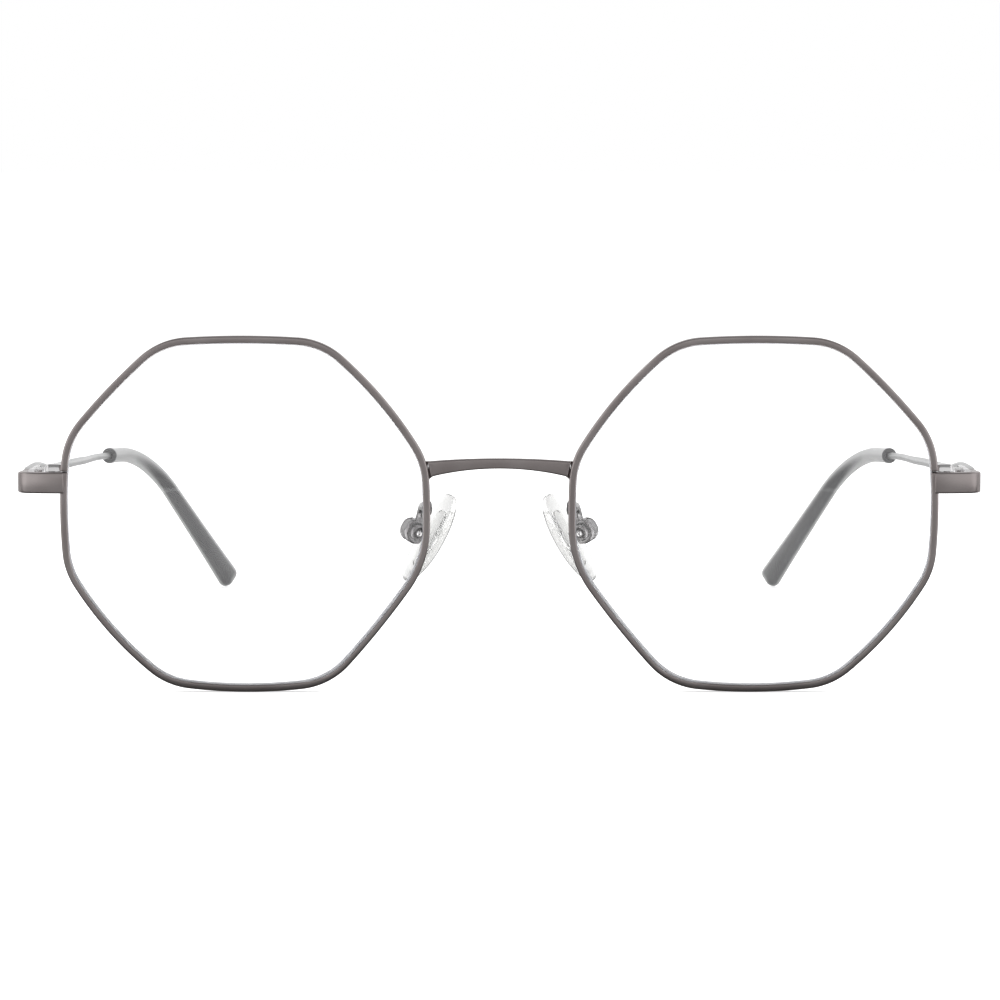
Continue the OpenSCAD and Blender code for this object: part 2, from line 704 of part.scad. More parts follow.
// The tip slips over the wire: a round mouth that grows into an oval with a rounded end
function tip_ring(s, shrink) =
    let (t = (s - tip_at) / tip_l,
         w = mix(tip_r, tip_half_w, t) * shrink, h = mix(tip_r, tip_half_h, pow(t, tip_swell)) * shrink)
    ring(s, w, h, min(w, h) * tip_round);

// How round its oval is, the soft edge of its mouth, and the room past the wire's end
tip_round = 0.98;
lip_l = 0.15;
lip_shrink = 0.9;
bore_spare_l = 0.3;

// The rounded end: distance from the very end, and share of the full size there
end_l = [0.8, 0.25, 0];
end_shrink = [0.97, 0.88, 0.72];

module temple_tip(side) {
    bore_r = wire_end_r + tip_play;
    bore = [for (s = concat([tip_at], core_places, [core_end + bore_spare_l]))
        ring(s, bore_r, bore_r, bore_r)];
    mouth = tip_at + lip_l;
    places = concat([mouth], spread(mouth, temple_l - tip_half_h, tip_pitch_l));
    outer = concat([tip_ring(tip_at, lip_shrink)], [for (s = places) tip_ring(s, 1)],
                   [for (i = [0 : 2]) tip_ring(temple_l - end_l[i], end_shrink[i])]);
    color(tip_grey) seat(side) skin(concat(reversed(bore), outer));
}

rim("left");  // rim_left
rim("right");  // rim_right
lens("left");  // lens_left
lens("right");  // lens_right
bridge();
lock_upper("left");  // lock_upper_left
lock_upper("right");  // lock_upper_right
lock_lower("left");  // lock_lower_left
lock_lower("right");  // lock_lower_right
lock_screw("left");  // lock_screw_left
lock_screw("right");  // lock_screw_right
end_piece("left");  // end_piece_left
end_piece("right");  // end_piece_right
pad_arm("left");  // pad_arm_left
pad_arm("right");  // pad_arm_right
pad_box("left");  // pad_box_left
pad_box("right");  // pad_box_right
pad_screw("left");  // pad_screw_left
pad_screw("right");  // pad_screw_right
nose_pad("left");  // nose_pad_left
nose_pad("right");  // nose_pad_right
pad_core("left");  // pad_core_left
pad_core("right");  // pad_core_right
hinge_front("left");  // hinge_front_left
hinge_front("right");  // hinge_front_right
hinge_temple("left");  // hinge_temple_left
hinge_temple("right");  // hinge_temple_right
hinge_screw("left");  // hinge_screw_left
hinge_screw("right");  // hinge_screw_right
temple("left");  // temple_left
temple("right");  // temple_right
temple_tip("left");  // temple_tip_left
temple_tip("right");  // temple_tip_right
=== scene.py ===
# %% [markdown]
# # Geometric eyeglasses
# A thin metal frame with eight sided rims, clear lenses, clear nose pads and wire temples
# that end in dark slip-on tips. The solid model gives every place and size. This script
# gives it the smooth surfaces and the finishes: most of the pieces are drawn again as fine
# surfaces worked out with numpy, and each one stands in for the solid it follows.

import bpy
import numpy as np
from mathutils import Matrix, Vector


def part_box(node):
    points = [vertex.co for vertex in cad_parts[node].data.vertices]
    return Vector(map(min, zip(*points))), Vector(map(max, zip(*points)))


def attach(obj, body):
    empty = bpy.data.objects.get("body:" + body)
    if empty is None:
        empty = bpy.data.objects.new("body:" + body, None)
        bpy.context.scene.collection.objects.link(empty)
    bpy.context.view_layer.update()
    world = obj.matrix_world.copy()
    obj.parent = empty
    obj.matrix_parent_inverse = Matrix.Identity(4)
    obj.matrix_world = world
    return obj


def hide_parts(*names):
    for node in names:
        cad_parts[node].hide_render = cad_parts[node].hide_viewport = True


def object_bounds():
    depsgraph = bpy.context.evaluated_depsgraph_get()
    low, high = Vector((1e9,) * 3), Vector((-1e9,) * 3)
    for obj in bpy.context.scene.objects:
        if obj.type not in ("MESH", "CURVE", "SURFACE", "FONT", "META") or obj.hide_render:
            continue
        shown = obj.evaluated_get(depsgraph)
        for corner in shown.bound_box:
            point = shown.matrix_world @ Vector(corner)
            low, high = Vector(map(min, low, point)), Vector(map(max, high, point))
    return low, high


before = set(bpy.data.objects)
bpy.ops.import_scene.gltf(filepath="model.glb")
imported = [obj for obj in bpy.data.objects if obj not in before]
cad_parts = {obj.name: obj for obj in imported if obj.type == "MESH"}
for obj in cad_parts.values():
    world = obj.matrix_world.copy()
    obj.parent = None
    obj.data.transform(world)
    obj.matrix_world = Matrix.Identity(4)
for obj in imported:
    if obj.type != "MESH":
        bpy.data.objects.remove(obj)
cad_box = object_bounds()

MM = 0.001
FRONT_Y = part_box("rim_left")[0][1] / MM

# %% [markdown]
# ## Sizes
# All sizes are in millimetres. X runs to the wearer's left, Y is the depth behind the front
# plane of the rims, and Z is the height over the table. The left half is drawn, and the right
# half is its mirror image.

# %% Sizes of the lens, the rim and what sits on them
LENS_W, LENS_H, LENS_GAP = 51.3, 49.5, 20.8
RIM_W, RIM_D, GROOVE_D, GROOVE_W, SLIT_W = 1.05, 1.9, 0.45, 1.3, 0.1
LENS_T, LENS_CURVE_R, LENS_PLAY, SOLDER = 1.8, 132.0, 0.05, 0.02
RIM_OUT = RIM_W - GROOVE_D
RIM_MID = RIM_D / 2
LENS_X = (LENS_GAP + LENS_W) / 2
LENS_Z = LENS_H / 2 + RIM_OUT
RIM_EDGE_X = LENS_X + LENS_W / 2 + RIM_OUT
END_RISE, END_H, END_T, END_LEAD, END_LAP, END_BEND_R = 4.5, 3.0, 1.3, 0.3, 0.55, 2.2
END_Z = LENS_Z + END_RISE
END_X = RIM_EDGE_X + 6.25
HINGE_Y = 8.5
FACE_PLAY = 0.05
print("lens centres at X = +-", LENS_X, "Z =", LENS_Z, "; end piece reaches X =", END_X)

# %% [markdown]
# ## From a grid of points to a mesh
# Nearly every piece here is a profile carried along a path. That gives a grid of points: one
# row for each station of the path, one column for each point of the profile. Neighbouring
# points make four sided faces, all found at once with index arrays. A row of stations can
# close on itself, as a ring does, or end in flat or rounded caps.


# %% Grids, caps and meshes
def patch(grid, around=True, loop=False, caps=(True, True)):
    """Vertices and faces of a grid of shape (stations, profile points, 3). The columns close
    when around is true, the rows when loop is true, and each open end gets a fan of triangles
    about the middle of its row when its cap is true."""
    rows, cols = grid.shape[:2]
    verts = grid.reshape(-1, 3)
    i = np.arange(rows if loop else rows - 1)[:, None]
    j = np.arange(cols if around else cols - 1)[None, :]
    i2, j2 = (i + 1) % rows, (j + 1) % cols
    quads = np.stack([i * cols + j, i * cols + j2, i2 * cols + j2, i2 * cols + j], -1)
    quads = quads.reshape(-1, 4)
    tris = []
    k = np.arange(cols)
    if not loop and caps[0]:
        tris.append(np.stack([(k + 1) % cols, k, np.full(cols, len(verts))], -1))
        verts = np.vstack([verts, grid[0].mean(0)])
    if not loop and caps[1]:
        last = (rows - 1) * cols
        tris.append(np.stack([last + k, last + (k + 1) % cols, np.full(cols, len(verts))], -1))
        verts = np.vstack([verts, grid[-1].mean(0)])
    return verts, quads, np.vstack(tris) if tris else np.zeros((0, 3), int)


def enclosed(v, quads, tris):
    """Six times the volume inside a closed patch: the sum over its triangles of a . (b x c).
    It is negative where the faces look inwards."""
    t = np.concatenate([quads[:, [0, 1, 2]], quads[:, [0, 2, 3]], tris])
    a, b, c = v[t[:, 0]], v[t[:, 1]], v[t[:, 2]]
    return (a * np.cross(b, c)).sum()


def mesh_of(name, patches, side=1, sharp=40.0):
    """One mesh of several patches, in metres, in the object's own frame. side -1 mirrors it in
    X and turns its faces round again, so that they still point outward. A patch may carry a
    fourth value, the number of its material."""
    verts, loops, starts, slots, n, base = [], [], [], [], 0, 0
    for v, quads, tris, *slot in patches:
        slots.append(np.full(len(quads) + len(tris), slot[0] if slot else 0))
        v = v * [side, 1, 1]
        inside_out = enclosed(v, quads, tris) < 0
        for f in (quads, tris):
            f = f[:, ::-1] if inside_out else f
            loops.append((f + base).ravel())
            starts.append(n + np.arange(len(f)) * f.shape[1])
            n += f.size
        verts.append(v)
        base += len(v)
    verts = (np.vstack(verts) + [0, FRONT_Y, 0]) * MM
    loops, starts = np.concatenate(loops), np.concatenate(starts)
    mesh = bpy.data.meshes.new(name)
    mesh.vertices.add(len(verts))
    mesh.vertices.foreach_set("co", verts.astype(np.float32).ravel())
    mesh.loops.add(len(loops))
    mesh.loops.foreach_set("vertex_index", loops.astype(np.int32))
    mesh.polygons.add(len(starts))
    mesh.polygons.foreach_set("loop_start", starts.astype(np.int32))
    mesh.polygons.foreach_set("material_index", np.concatenate(slots).astype(np.int32))
    mesh.update(calc_edges=True)
    mesh.validate()
    shaded(mesh, sharp)
    return mesh


def shaded(mesh, sharp):
    """Smooth shading, but for edges that turn by more than sharp degrees."""
    mesh.polygons.foreach_set("use_smooth", np.ones(len(mesh.polygons), bool))
    mesh.set_sharp_from_angle(angle=np.radians(sharp))


def placed(name, data):
    """A new object in the scene."""
    obj = bpy.data.objects.new(name, data)
    bpy.context.scene.collection.objects.link(obj)
    return obj


def piece(name, patches, materials, body, stands_for, side=1, sharp=40.0):
    """A finished piece: its object at the origin, its materials, its body and the solids it
    stands for."""
    obj = placed(name, mesh_of(name, patches, side, sharp))
    for material in materials if isinstance(materials, list) else [materials]:
        obj.data.materials.append(material)
    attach(obj, body)
    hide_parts(*stands_for)
    return obj


SIDES = {"left": 1, "right": -1}


def pair(name, node, patches, materials, body, sharp):
    """A piece and its mirror image. A body other than the front is named for its side too."""
    both = []
    for side, k in SIDES.items():
        end = "_" + side
        rides = body if body == "front" else body + end
        both.append(piece(name + end, patches, materials, rides, [node + end], k, sharp))
    return both


# %% [markdown]
# ## Rounded profiles
# A wire drawn through a die has soft edges, and so has a stamped strip. One helper rounds the
# corners of any flat polygon, and the same helper serves the rim, the bridge, the end piece
# and the pad boxes.


# %% A polygon with rounded corners
def rounded(corners, radii, steps=6):
    """Points of a polygon whose corners are replaced by arcs. Each arc touches both sides at a
    distance radius * tan(half the turn) from its corner."""
    corners = np.asarray(corners, float)
    radii = np.broadcast_to(radii, len(corners))
    points = []
    for p, a, b, r in zip(corners, np.roll(corners, 1, 0), np.roll(corners, -1, 0), radii):
        u, v = (p - a) / np.linalg.norm(p - a), (b - p) / np.linalg.norm(b - p)
        turn = np.arctan2(u[0] * v[1] - u[1] * v[0], u @ v)
        if r <= 0 or abs(turn) < 1e-6:
            points.append(p[None])
            continue
        start = p - u * r * np.tan(abs(turn) / 2)
        centre = start + np.sign(turn) * r * np.array([-u[1], u[0]])
        t = np.linspace(0, turn, steps + 1)[:, None]
        d = start - centre
        points.append(centre + np.cos(t) * d + np.sin(t) * np.array([-d[1], d[0]]))
    return np.vstack(points)


def full_turn(count):
    """Evenly spaced angles, once round."""
    return np.linspace(0, 2 * np.pi, count, endpoint=False)


def tapered_ends(rows, first, last, depths):
    """Adds shrinking copies before and after the rows, so that an end looks rounded. Each
    copy is scaled about its own middle and moved out along first or last."""
    def cap(row, out):
        mid = row.mean(0)
        return [mid + (row - mid) * s + np.asarray(out) * d for d, s in depths]
    return np.stack(cap(rows[0], first)[::-1] + list(rows) + cap(rows[-1], last))


# %% [markdown]
# ## The eight sided outline
# Seen from the front, each lens has eight slightly bowed edges and eight round corners. An
# edge is an arc through two corner points. A corner is a smaller arc inside it, which touches
# both edges, so the whole line runs on without a kink. Stations along it carry the rim and the
# edge of the lens.

# %% Corners, edges and arcs of the outline
corner = np.array([
    [11.8, LENS_H / 2 - 0.5], [-10.8, LENS_H / 2 - 0.5],
    [-(LENS_W / 2 - 0.3), 7.3], [-(LENS_W / 2 - 0.3), -6.8],
    [-11.7, -(LENS_H / 2 - 0.9)], [11.0, -(LENS_H / 2 - 0.9)],
    [LENS_W / 2 - 0.5, -7.8], [LENS_W / 2 - 0.5, 10.4]])
bow = np.array([0.5, 1.1, 0.3, 0.5, 0.9, 1.1, 0.5, 0.5])
corner_r = np.array([10.0, 10, 10, 15, 10, 10, 10, 10])

after = np.roll(corner, -1, 0)
length = np.linalg.norm(after - corner, axis=1)
inward = np.stack([corner[:, 1] - after[:, 1], after[:, 0] - corner[:, 0]], -1) / length[:, None]
edge_r = (length**2 / 4 + bow**2) / (2 * bow)
edge_c = (corner + after) / 2 + inward * (edge_r - bow)[:, None]


def corner_centre(i):
    """Where two circles cross nearest to the corner: both edges shrunk by the corner radius."""
    a, b = edge_c[i - 1], edge_c[i]
    ra, rb = edge_r[i - 1] - corner_r[i], edge_r[i] - corner_r[i]
    d = np.linalg.norm(b - a)
    e = (b - a) / d
    along = (ra**2 - rb**2 + d**2) / (2 * d)
    off = np.sqrt(ra**2 - along**2) * np.array([-e[1], e[0]])
    middle = a + e * along
    return min((middle + off, middle - off), key=lambda p: np.linalg.norm(p - corner[i]))


def heading(v):
    return np.arctan2(v[1], v[0])


round_c = np.array([corner_centre(i) for i in range(8)])
start_a = [heading(round_c[i] - edge_c[i - 1]) for i in range(8)]
edge_a = [heading(round_c[i] - edge_c[i]) for i in range(8)]
SLIT_Y = END_RISE + END_H / 2 + SLIT_W / 2 + SOLDER
SLIT_STEPS = (0, 0.06, 0.14)


def arc_row(centre, radius, a0, a1, pitch):
    """Stations along one arc: centre x and y, radius and direction, about one pitch apart."""
    turn = (a1 - a0) % (2 * np.pi)
    t = a0 + turn * np.linspace(0, 1, int(np.ceil(turn * radius / pitch)) + 1)
    still = [np.full_like(t, value) for value in (*centre, radius)]
    return np.stack([*still, t], -1)


def outline_stations(pitch=0.45, slit=False):
    """All stations round the outline, turning left from the temple edge. With slit, the row
    starts just above the slit that opens the rim and ends just below it."""
    cut = np.arcsin((SLIT_Y - edge_c[6][1]) / edge_r[6])
    half = (SLIT_W / 2 if slit else 0) / edge_r[6]
    fine = np.array(SLIT_STEPS) / edge_r[6]
    rows = [arc_row(edge_c[6], edge_r[6], cut + half, start_a[7], pitch)]
    if slit:
        near = np.repeat(rows[0][:1], 3, 0)
        near[:, 3] = cut + half + fine
        rows = [near, rows[0][1:]]
    for i in (7, 0, 1, 2, 3, 4, 5):
        rows.append(arc_row(round_c[i], corner_r[i], start_a[i], edge_a[i], pitch)[1:])
        rows.append(arc_row(edge_c[i], edge_r[i], edge_a[i], start_a[(i + 1) % 8], pitch)[1:])
    rows.append(arc_row(round_c[6], corner_r[6], start_a[6], edge_a[6], pitch)[1:])
    tail = arc_row(edge_c[6], edge_r[6], edge_a[6], cut - half, pitch)[1:]
    if slit:
        near = np.repeat(tail[-1:], 3, 0)
        near[:, 3] = cut - half - fine[::-1]
        tail = np.vstack([tail[:-1], near])
    rows = np.vstack(rows + [tail])
    return rows if slit else rows[:-1]


def outline(stations, out):
    """Points of the outline in the lens plane, moved out by a distance: centre + (radius +
    out) * (cos, sin) of the station's direction."""
    way = np.stack([np.cos(stations[:, 3]), np.sin(stations[:, 3])], -1)
    return stations[:, :2] + (stations[:, 2] + out)[:, None] * way


def carry(stations, profile):
    """Carries a profile of (out, depth) pairs round the outline: a grid in X, Y, Z."""
    xz = np.stack([outline(stations, out) for out in profile[:, 0]], 1)
    depth = np.broadcast_to(profile[:, 1], xz.shape[:2])
    return np.stack([LENS_X + xz[..., 0], depth, LENS_Z + xz[..., 1]], -1)


print("stations round a rim:", len(outline_stations(slit=True)))

# %% [markdown]
# ## Finishes
# The front is nickel alloy with a satin gunmetal coating. What makes it look like metal is the
# way it mirrors its surroundings, so it is fully metallic with a middling roughness, and a fine
# noise shifts the roughness and tilts the surface a little, as a plated and lacquered wire
# does. Values that are the same all over sit on the shader's own sockets.


# %% Helpers for the shader nodes
def add_node(tree, kind, inputs):
    """A new node. Each input is linked when it is given a socket, and set when it is a value."""
    node = tree.nodes.new("ShaderNode" + kind)
    for key, value in inputs.items():
        if isinstance(value, bpy.types.NodeSocket):
            tree.links.new(value, node.inputs[key])
        else:
            node.inputs[key].default_value = value
    return node


def finish(name, colour, metallic=0.0, roughness=0.4, **more):
    """A Principled material, its tree, its shader and its Object coordinates."""
    mat = bpy.data.materials.new(name)
    mat.use_nodes = True
    tree = mat.node_tree
    shader = tree.nodes["Principled BSDF"]
    shader.inputs["Base Color"].default_value = (*colour, 1.0)
    shader.inputs["Metallic"].default_value = metallic
    shader.inputs["Roughness"].default_value = roughness
    for key, value in more.items():
        shader.inputs[key.replace("_", " ")].default_value = value
    return mat, tree, shader, add_node(tree, "TexCoord", {}).outputs["Object"]


def noise(tree, place, scale, detail=2.0, stretch=(1, 1, 1)):
    """Noise over the piece's own coordinates. scale counts waves per metre."""
    mapping = add_node(tree, "Mapping", {"Scale": stretch, "Vector": place})
    waves = {"Scale": scale, "Detail": detail, "Vector": mapping.outputs["Vector"]}
    return add_node(tree, "TexNoise", waves).outputs["Fac"]


def spread(tree, value, low=0.0, high=1.0, from_low=0.3, from_high=0.7):
    """Maps a value to a range, with soft ends."""
    limits = {"From Min": from_low, "From Max": from_high, "To Min": low, "To Max": high}
    node = add_node(tree, "MapRange", {"Value": value, **limits})
    node.interpolation_type = "SMOOTHSTEP"
    return node.outputs["Result"]


def blend_colours(tree, value, low, high):
    """A colour between two, by a value."""
    node = add_node(tree, "Mix", {0: value, 6: (*low, 1.0), 7: (*high, 1.0)})
    node.data_type = "RGBA"
    return node.outputs[2]


def tinted(tree, shader, value, low, high):
    """Sets the base colour between two by a value."""
    tree.links.new(blend_colours(tree, value, low, high), shader.inputs["Base Color"])


def polished(tree, shader, value, *limits):
    """Sets the roughness between two limits by a value."""
    tree.links.new(spread(tree, value, *limits), shader.inputs["Roughness"])


def relief(tree, shader, value, depth, strength=1.0):
    """Tilts the surface by a height value, depth in metres."""
    bump = add_node(tree, "Bump", {"Strength": strength, "Distance": depth, "Height": value})
    tree.links.new(bump.outputs["Normal"], shader.inputs["Normal"])


def slant(tree):
    """How much the surface turns away from the eye: 0 face on, 1 edge on."""
    return add_node(tree, "LayerWeight", {"Blend": 0.5}).outputs["Facing"]


# %% Gunmetal coating, bright steel and temple wire
def metal(name, dark, light, roughness, grain=420.0, tilt=0.3e-6):
    """Metal with a colour that drifts softly, a roughness with soft spots and a faint relief.
    The spots are a few millimetres wide: anything finer would vanish at a normal distance."""
    mat, tree, shader, place = finish(name, light, metallic=1.0)
    tinted(tree, shader, spread(tree, noise(tree, place, 160.0, 1.0)), dark, light)
    spots = noise(tree, place, grain, 0.0)
    polished(tree, shader, spots, roughness - 0.015, roughness + 0.02, 0.1, 0.9)
    relief(tree, shader, spots, tilt)
    return mat


gunmetal = metal("gunmetal_coating", (0.37, 0.33, 0.325), (0.43, 0.39, 0.385), 0.30)
plated = metal("plated_wire", (0.29, 0.28, 0.285), (0.37, 0.36, 0.36), 0.2)
steel = metal("bright_steel", (0.68, 0.675, 0.67), (0.78, 0.775, 0.77), 0.18)
nickel = metal("polished_nickel", (0.74, 0.73, 0.735), (0.82, 0.81, 0.815), 0.14)
wire = metal("temple_wire", (0.60, 0.60, 0.60), (0.67, 0.67, 0.67), 0.32)
print("metal finishes:", gunmetal.name, plated.name, steel.name, wire.name)

# %% [markdown]
# The tips are dark grey acetate with a satin polish. Their base colour is painted lighter
# where the surface turns away from the eye: a painted sheen that stands in for the light that
# grazes them. The pads are clear silicone, soft and slightly cloudy, over a clear hard plate.
# Their base colour is painted darker where the surface turns away from the eye: painted edge
# shade that stands in for the deeper tint of light that runs through at a slant. The lenses are
# clear plastic with a coating against reflections and a ground edge that shows pale.

# %% Tip, pad and lens finishes
tip_mat, tree, shader, place = finish("satin_tip_painted_sheen", (0.08, 0.08, 0.083), Coat_Weight=0.6,
                                      Coat_Roughness=0.2)
cloud = spread(tree, noise(tree, place, 120.0, 1.0, (1, 0.4, 1)))
grey = blend_colours(tree, cloud, (0.050, 0.050, 0.052), (0.062, 0.062, 0.064))
# Painted sheen: the base colour goes from the dark grey to light grey where the surface turns away
# from the eye.
painted_sheen = spread(tree, slant(tree), 0.0, 1.0, 0.31, 0.60)
skin = blend_colours(tree, painted_sheen, (0, 0, 0), (0.38, 0.38, 0.38))
tree.links.new(grey, skin.node.inputs[6])
tree.links.new(skin, shader.inputs["Base Color"])
polished(tree, shader, noise(tree, place, 300.0, 0.0), 0.31, 0.37)

pad_mat, tree, shader, place = finish("clear_silicone", (0.78, 0.78, 0.775), IOR=1.12,
                                      Transmission_Weight=0.95)
# Painted edge shade: the base colour darkens where the surface turns away from the eye.
painted_edge_shade = spread(tree, slant(tree), 0.0, 1.0, 0.2, 0.6)
tinted(tree, shader, painted_edge_shade, (0.95, 0.95, 0.94), (0.44, 0.44, 0.437))
polished(tree, shader, noise(tree, place, 260.0, 1.0), 0.10, 0.14)

core_mat, tree, shader, place = finish("clear_hard_plastic", (0.94, 0.94, 0.935), IOR=1.16,
                                       Transmission_Weight=0.95)
polished(tree, shader, noise(tree, place, 300.0, 0.0), 0.1, 0.2)

lens_mat, tree, shader, place = finish("clear_lens", (0.985, 0.985, 0.995), 0.0, 0.0, IOR=1.5,
                                       Transmission_Weight=1.0, Specular_IOR_Level=0.1)
drift = spread(tree, noise(tree, place, 60.0, 1.0))
tinted(tree, shader, drift, (0.985, 0.987, 0.99), (0.992, 0.993, 0.995))

edge_mat, tree, shader, place = finish("ground_lens_edge", (0.86, 0.865, 0.90), 0.0, 0.55,
                                       IOR=1.5, Transmission_Weight=0.35)
grit = spread(tree, noise(tree, place, 400.0, 1.0))
tinted(tree, shader, grit, (0.83, 0.835, 0.875), (0.89, 0.895, 0.925))
print("clear finishes:", pad_mat.name, core_mat.name, lens_mat.name, edge_mat.name)

# %% [markdown]
# ## Rims
# The rim is one wire, rolled to a channel on its inside and bent round the lens. Its two ends
# meet at the closing blocks, with a fine slit between them just above the end piece. The
# profile has soft edges and a groove, and is carried round the outline from one end to the
# other.

# %% Rim profile and rims
rim_profile = np.array([
    [RIM_OUT, -RIM_D], [RIM_OUT, 0], [-GROOVE_D, 0], [-GROOVE_D, -(RIM_MID - GROOVE_W / 2)],
    [0, -RIM_MID], [-GROOVE_D, -(RIM_MID + GROOVE_W / 2)], [-GROOVE_D, -RIM_D]])
rim_profile = rounded(rim_profile, [0.22, 0.26, 0.2, 0.06, 0.08, 0.06, 0.2]) * [1, -1]


LIP_PRESS, LIP_NOSE, LIP_CHEEK = 0.05, 0.22, 0.17


def lip_bend(side):
    """How far the front lip is pressed out, by the direction of the outline: c ** 6, c being
    the cosine of the angle to the lower bend by the nose and to the one by the cheek."""
    nose, cheek = np.cos(side - np.radians(225)), np.cos(side - np.radians(318))
    return LIP_NOSE * np.clip(nose, 0, 1) ** 6 + LIP_CHEEK * np.clip(cheek, 0, 1) ** 6


def rim_grid():
    """The profile carried round the outline, with its front lip pressed out."""
    stations = outline_stations(0.4, slit=True)
    grid = carry(stations, rim_profile)
    side = stations[:, 3]
    press = LIP_PRESS + lip_bend(side)
    in_front = rim_profile[:, 1] < RIM_MID - 0.2
    lip = np.clip(-rim_profile[:, 0] / GROOVE_D, 0, 1) * in_front
    out = np.stack([np.cos(side), np.zeros_like(side), np.sin(side)], -1)
    return grid + out[:, None, :] * (press[:, None] * lip[None])[..., None]


# The last rows at each side of the slit shrink a little, which rounds the wire's cut ends.
END_SIZES = (0.72, 0.9, 0.98)
grid = rim_grid()
for n, size in enumerate(END_SIZES):
    for row in (n, -1 - n):
        grid[row] = grid[row].mean(0) + (grid[row] - grid[row].mean(0)) * size
rims = pair("rim_wire", "rim", [patch(grid)], gunmetal, "front", 35)
print("rim:", grid.shape, "points,", len(rims[0].data.polygons), "faces")

# %% [markdown]
# ## Lenses
# A lens is a thin curved shell. Each of its faces is part of a ball, and the edge is ground
# flat with a pointed bevel that sits in the rim's groove. The grid runs from the middle of the
# front out to the edge, over the bevel and back to the middle behind.

# %% Lenses
EDGE_OUT = -GROOVE_D - LENS_PLAY
BEVEL_H = GROOVE_W / 2 - 2 * LENS_PLAY
APEX_Y = RIM_MID - LENS_T / 2 - (LENS_CURVE_R - np.sqrt(LENS_CURVE_R**2 - (LENS_H / 2) ** 2))


def face_depth(xz, radius):
    """Depth of a face of the lens: the ball's centre less the square root of r2 - x2 - z2."""
    return APEX_Y + LENS_CURVE_R - np.sqrt(radius**2 - (xz**2).sum(-1))


CHAMFER, FACE_RINGS = 0.20, 24


def lens_grid():
    """Rings from the middle of the front over the edge to the middle of the back. The front
    edge fills the rim's lip, and the back edge is broken by a chamfer."""
    stations = outline_stations(0.8)
    edge, tip = outline(stations, EDGE_OUT), outline(stations, -LENS_PLAY)
    side = stations[:, 3]
    width = CHAMFER * (0.3 + 0.45 * np.clip(-np.sin(side), 0, 1)
                       + 0.55 * np.clip(-np.cos(side - np.pi / 4), 0, 1) ** 4)
    inner = outline(stations, EDGE_OUT - width)
    away = np.stack([np.cos(side), np.sin(side)], -1)
    brim = edge + away * lip_bend(side)[:, None]

    def ring(xz, y):
        """Points of a ring: their place in the lens plane and their depth."""
        return np.concatenate([xz, np.broadcast_to(y, len(xz))[:, None]], -1)

    back_r = LENS_CURVE_R - LENS_T
    shares = np.linspace(0.02, 1, FACE_RINGS)
    front = [ring(brim * s, face_depth(brim * s, LENS_CURVE_R)) for s in shares]
    bevel = [ring(brim, RIM_MID - BEVEL_H), ring(tip, RIM_MID), ring(edge, RIM_MID + BEVEL_H)]
    back = [ring(edge * s, face_depth(edge * s, back_r)) for s in shares[::-1]]
    back[0][:, 2] -= width
    back[1] = ring(inner, face_depth(inner, back_r))
    g = np.stack(front + bevel + back)
    return np.stack([LENS_X + g[..., 0], g[..., 2], LENS_Z + g[..., 1]], -1)


grid = lens_grid()
verts, quads, tris = patch(grid)
ring_of = quads.min(1) // grid.shape[1]
ground = (ring_of >= FACE_RINGS - 1) & (ring_of <= FACE_RINGS + 3)
slots = np.append(ground, np.zeros(len(tris))).astype(np.int32)
for obj in pair("lens_shell", "lens", [(verts, quads, tris)], [lens_mat, edge_mat], "front", 30):
    obj.data.polygons.foreach_set("material_index", slots)
print("lens:", grid.shape, "points, apex", round(-APEX_Y, 2), "mm in front of the rim")

# %% [markdown]
# ## Bridge
# The bridge is a flat bar with a faint arch. Its top and its underside are arcs of different
# radii, so it is lowest in the middle and taller at its ends, where a small fillet of solder
# joins it to each rim. Every station reaches from the middle out to the rim's own curve.

# %% Bridge
BRIDGE_D, BRIDGE_SET, BRIDGE_H = 1.4, 0.3, 1.45
TOP_Z, TOP_R, LOW_R = LENS_Z + 7.95, 110.0, 40.0
BEAD_Z, BEAD_HALF, BEAD_GAP = TOP_Z - 1.15, (0.11, 0.14, 0.42), 0.12
NOTCH_D, PIT_D = 0.45, 0.4


def rim_side_x(z):
    """Distance of the rim's outer edge from the middle of the nose at a height."""
    pts = outline(outline_stations(), RIM_OUT)
    near = pts[(pts[:, 0] < 0) & (abs(pts[:, 1]) < 15)]
    near = near[np.argsort(near[:, 1])]
    return LENS_X + np.interp(z - LENS_Z, near[:, 1], near[:, 0])


def bell(value, middle, width):
    """A soft bump: exp(-((value - middle) / width) ** 2)."""
    return np.exp(-(((value - middle) / width) ** 2))


def bridge_grid(half=40, foot=0.35):
    """A rounded bar: at each share of the way out, the section spans from the lower arc to the
    upper one, and the foot spreads it a little just before the rim. Its front has a notch for
    the bead of solder and a shallow pit beside it."""
    share = np.sin(np.sin(np.linspace(-1, 1, 2 * half + 1) * np.pi / 2) * np.pi / 2)[:, None]
    section = rounded([[-1, -1], [1, -1], [1, 1], [-1, 1]], 0.34, 6)
    section = np.clip(section, -1, 1)
    depth = BRIDGE_SET + BRIDGE_D / 2 + section[:, 0] * BRIDGE_D / 2
    x = share * 9.9
    flare = foot * np.clip((abs(share) - 0.93) / 0.07, 0, 1) ** 2
    high = TOP_Z - x**2 / (2 * TOP_R) + 0.12 * flare
    low = TOP_Z - BRIDGE_H - x**2 / (2 * LOW_R) - flare
    z = (high + low) / 2 + section[None, :, 1] * (high - low) / 2
    reach = rim_side_x(z) - 0.02
    x = share * reach
    gap = reach - abs(x)
    notch = NOTCH_D * bell(gap, BEAD_GAP, 0.10)
    pit = PIT_D * bell(gap, 0.62, 0.14) * bell(z, TOP_Z - 1.25, 0.33)
    return np.stack([x, depth + (notch + pit) * np.clip(-section[None, :, 0], 0, 1), z], -1)


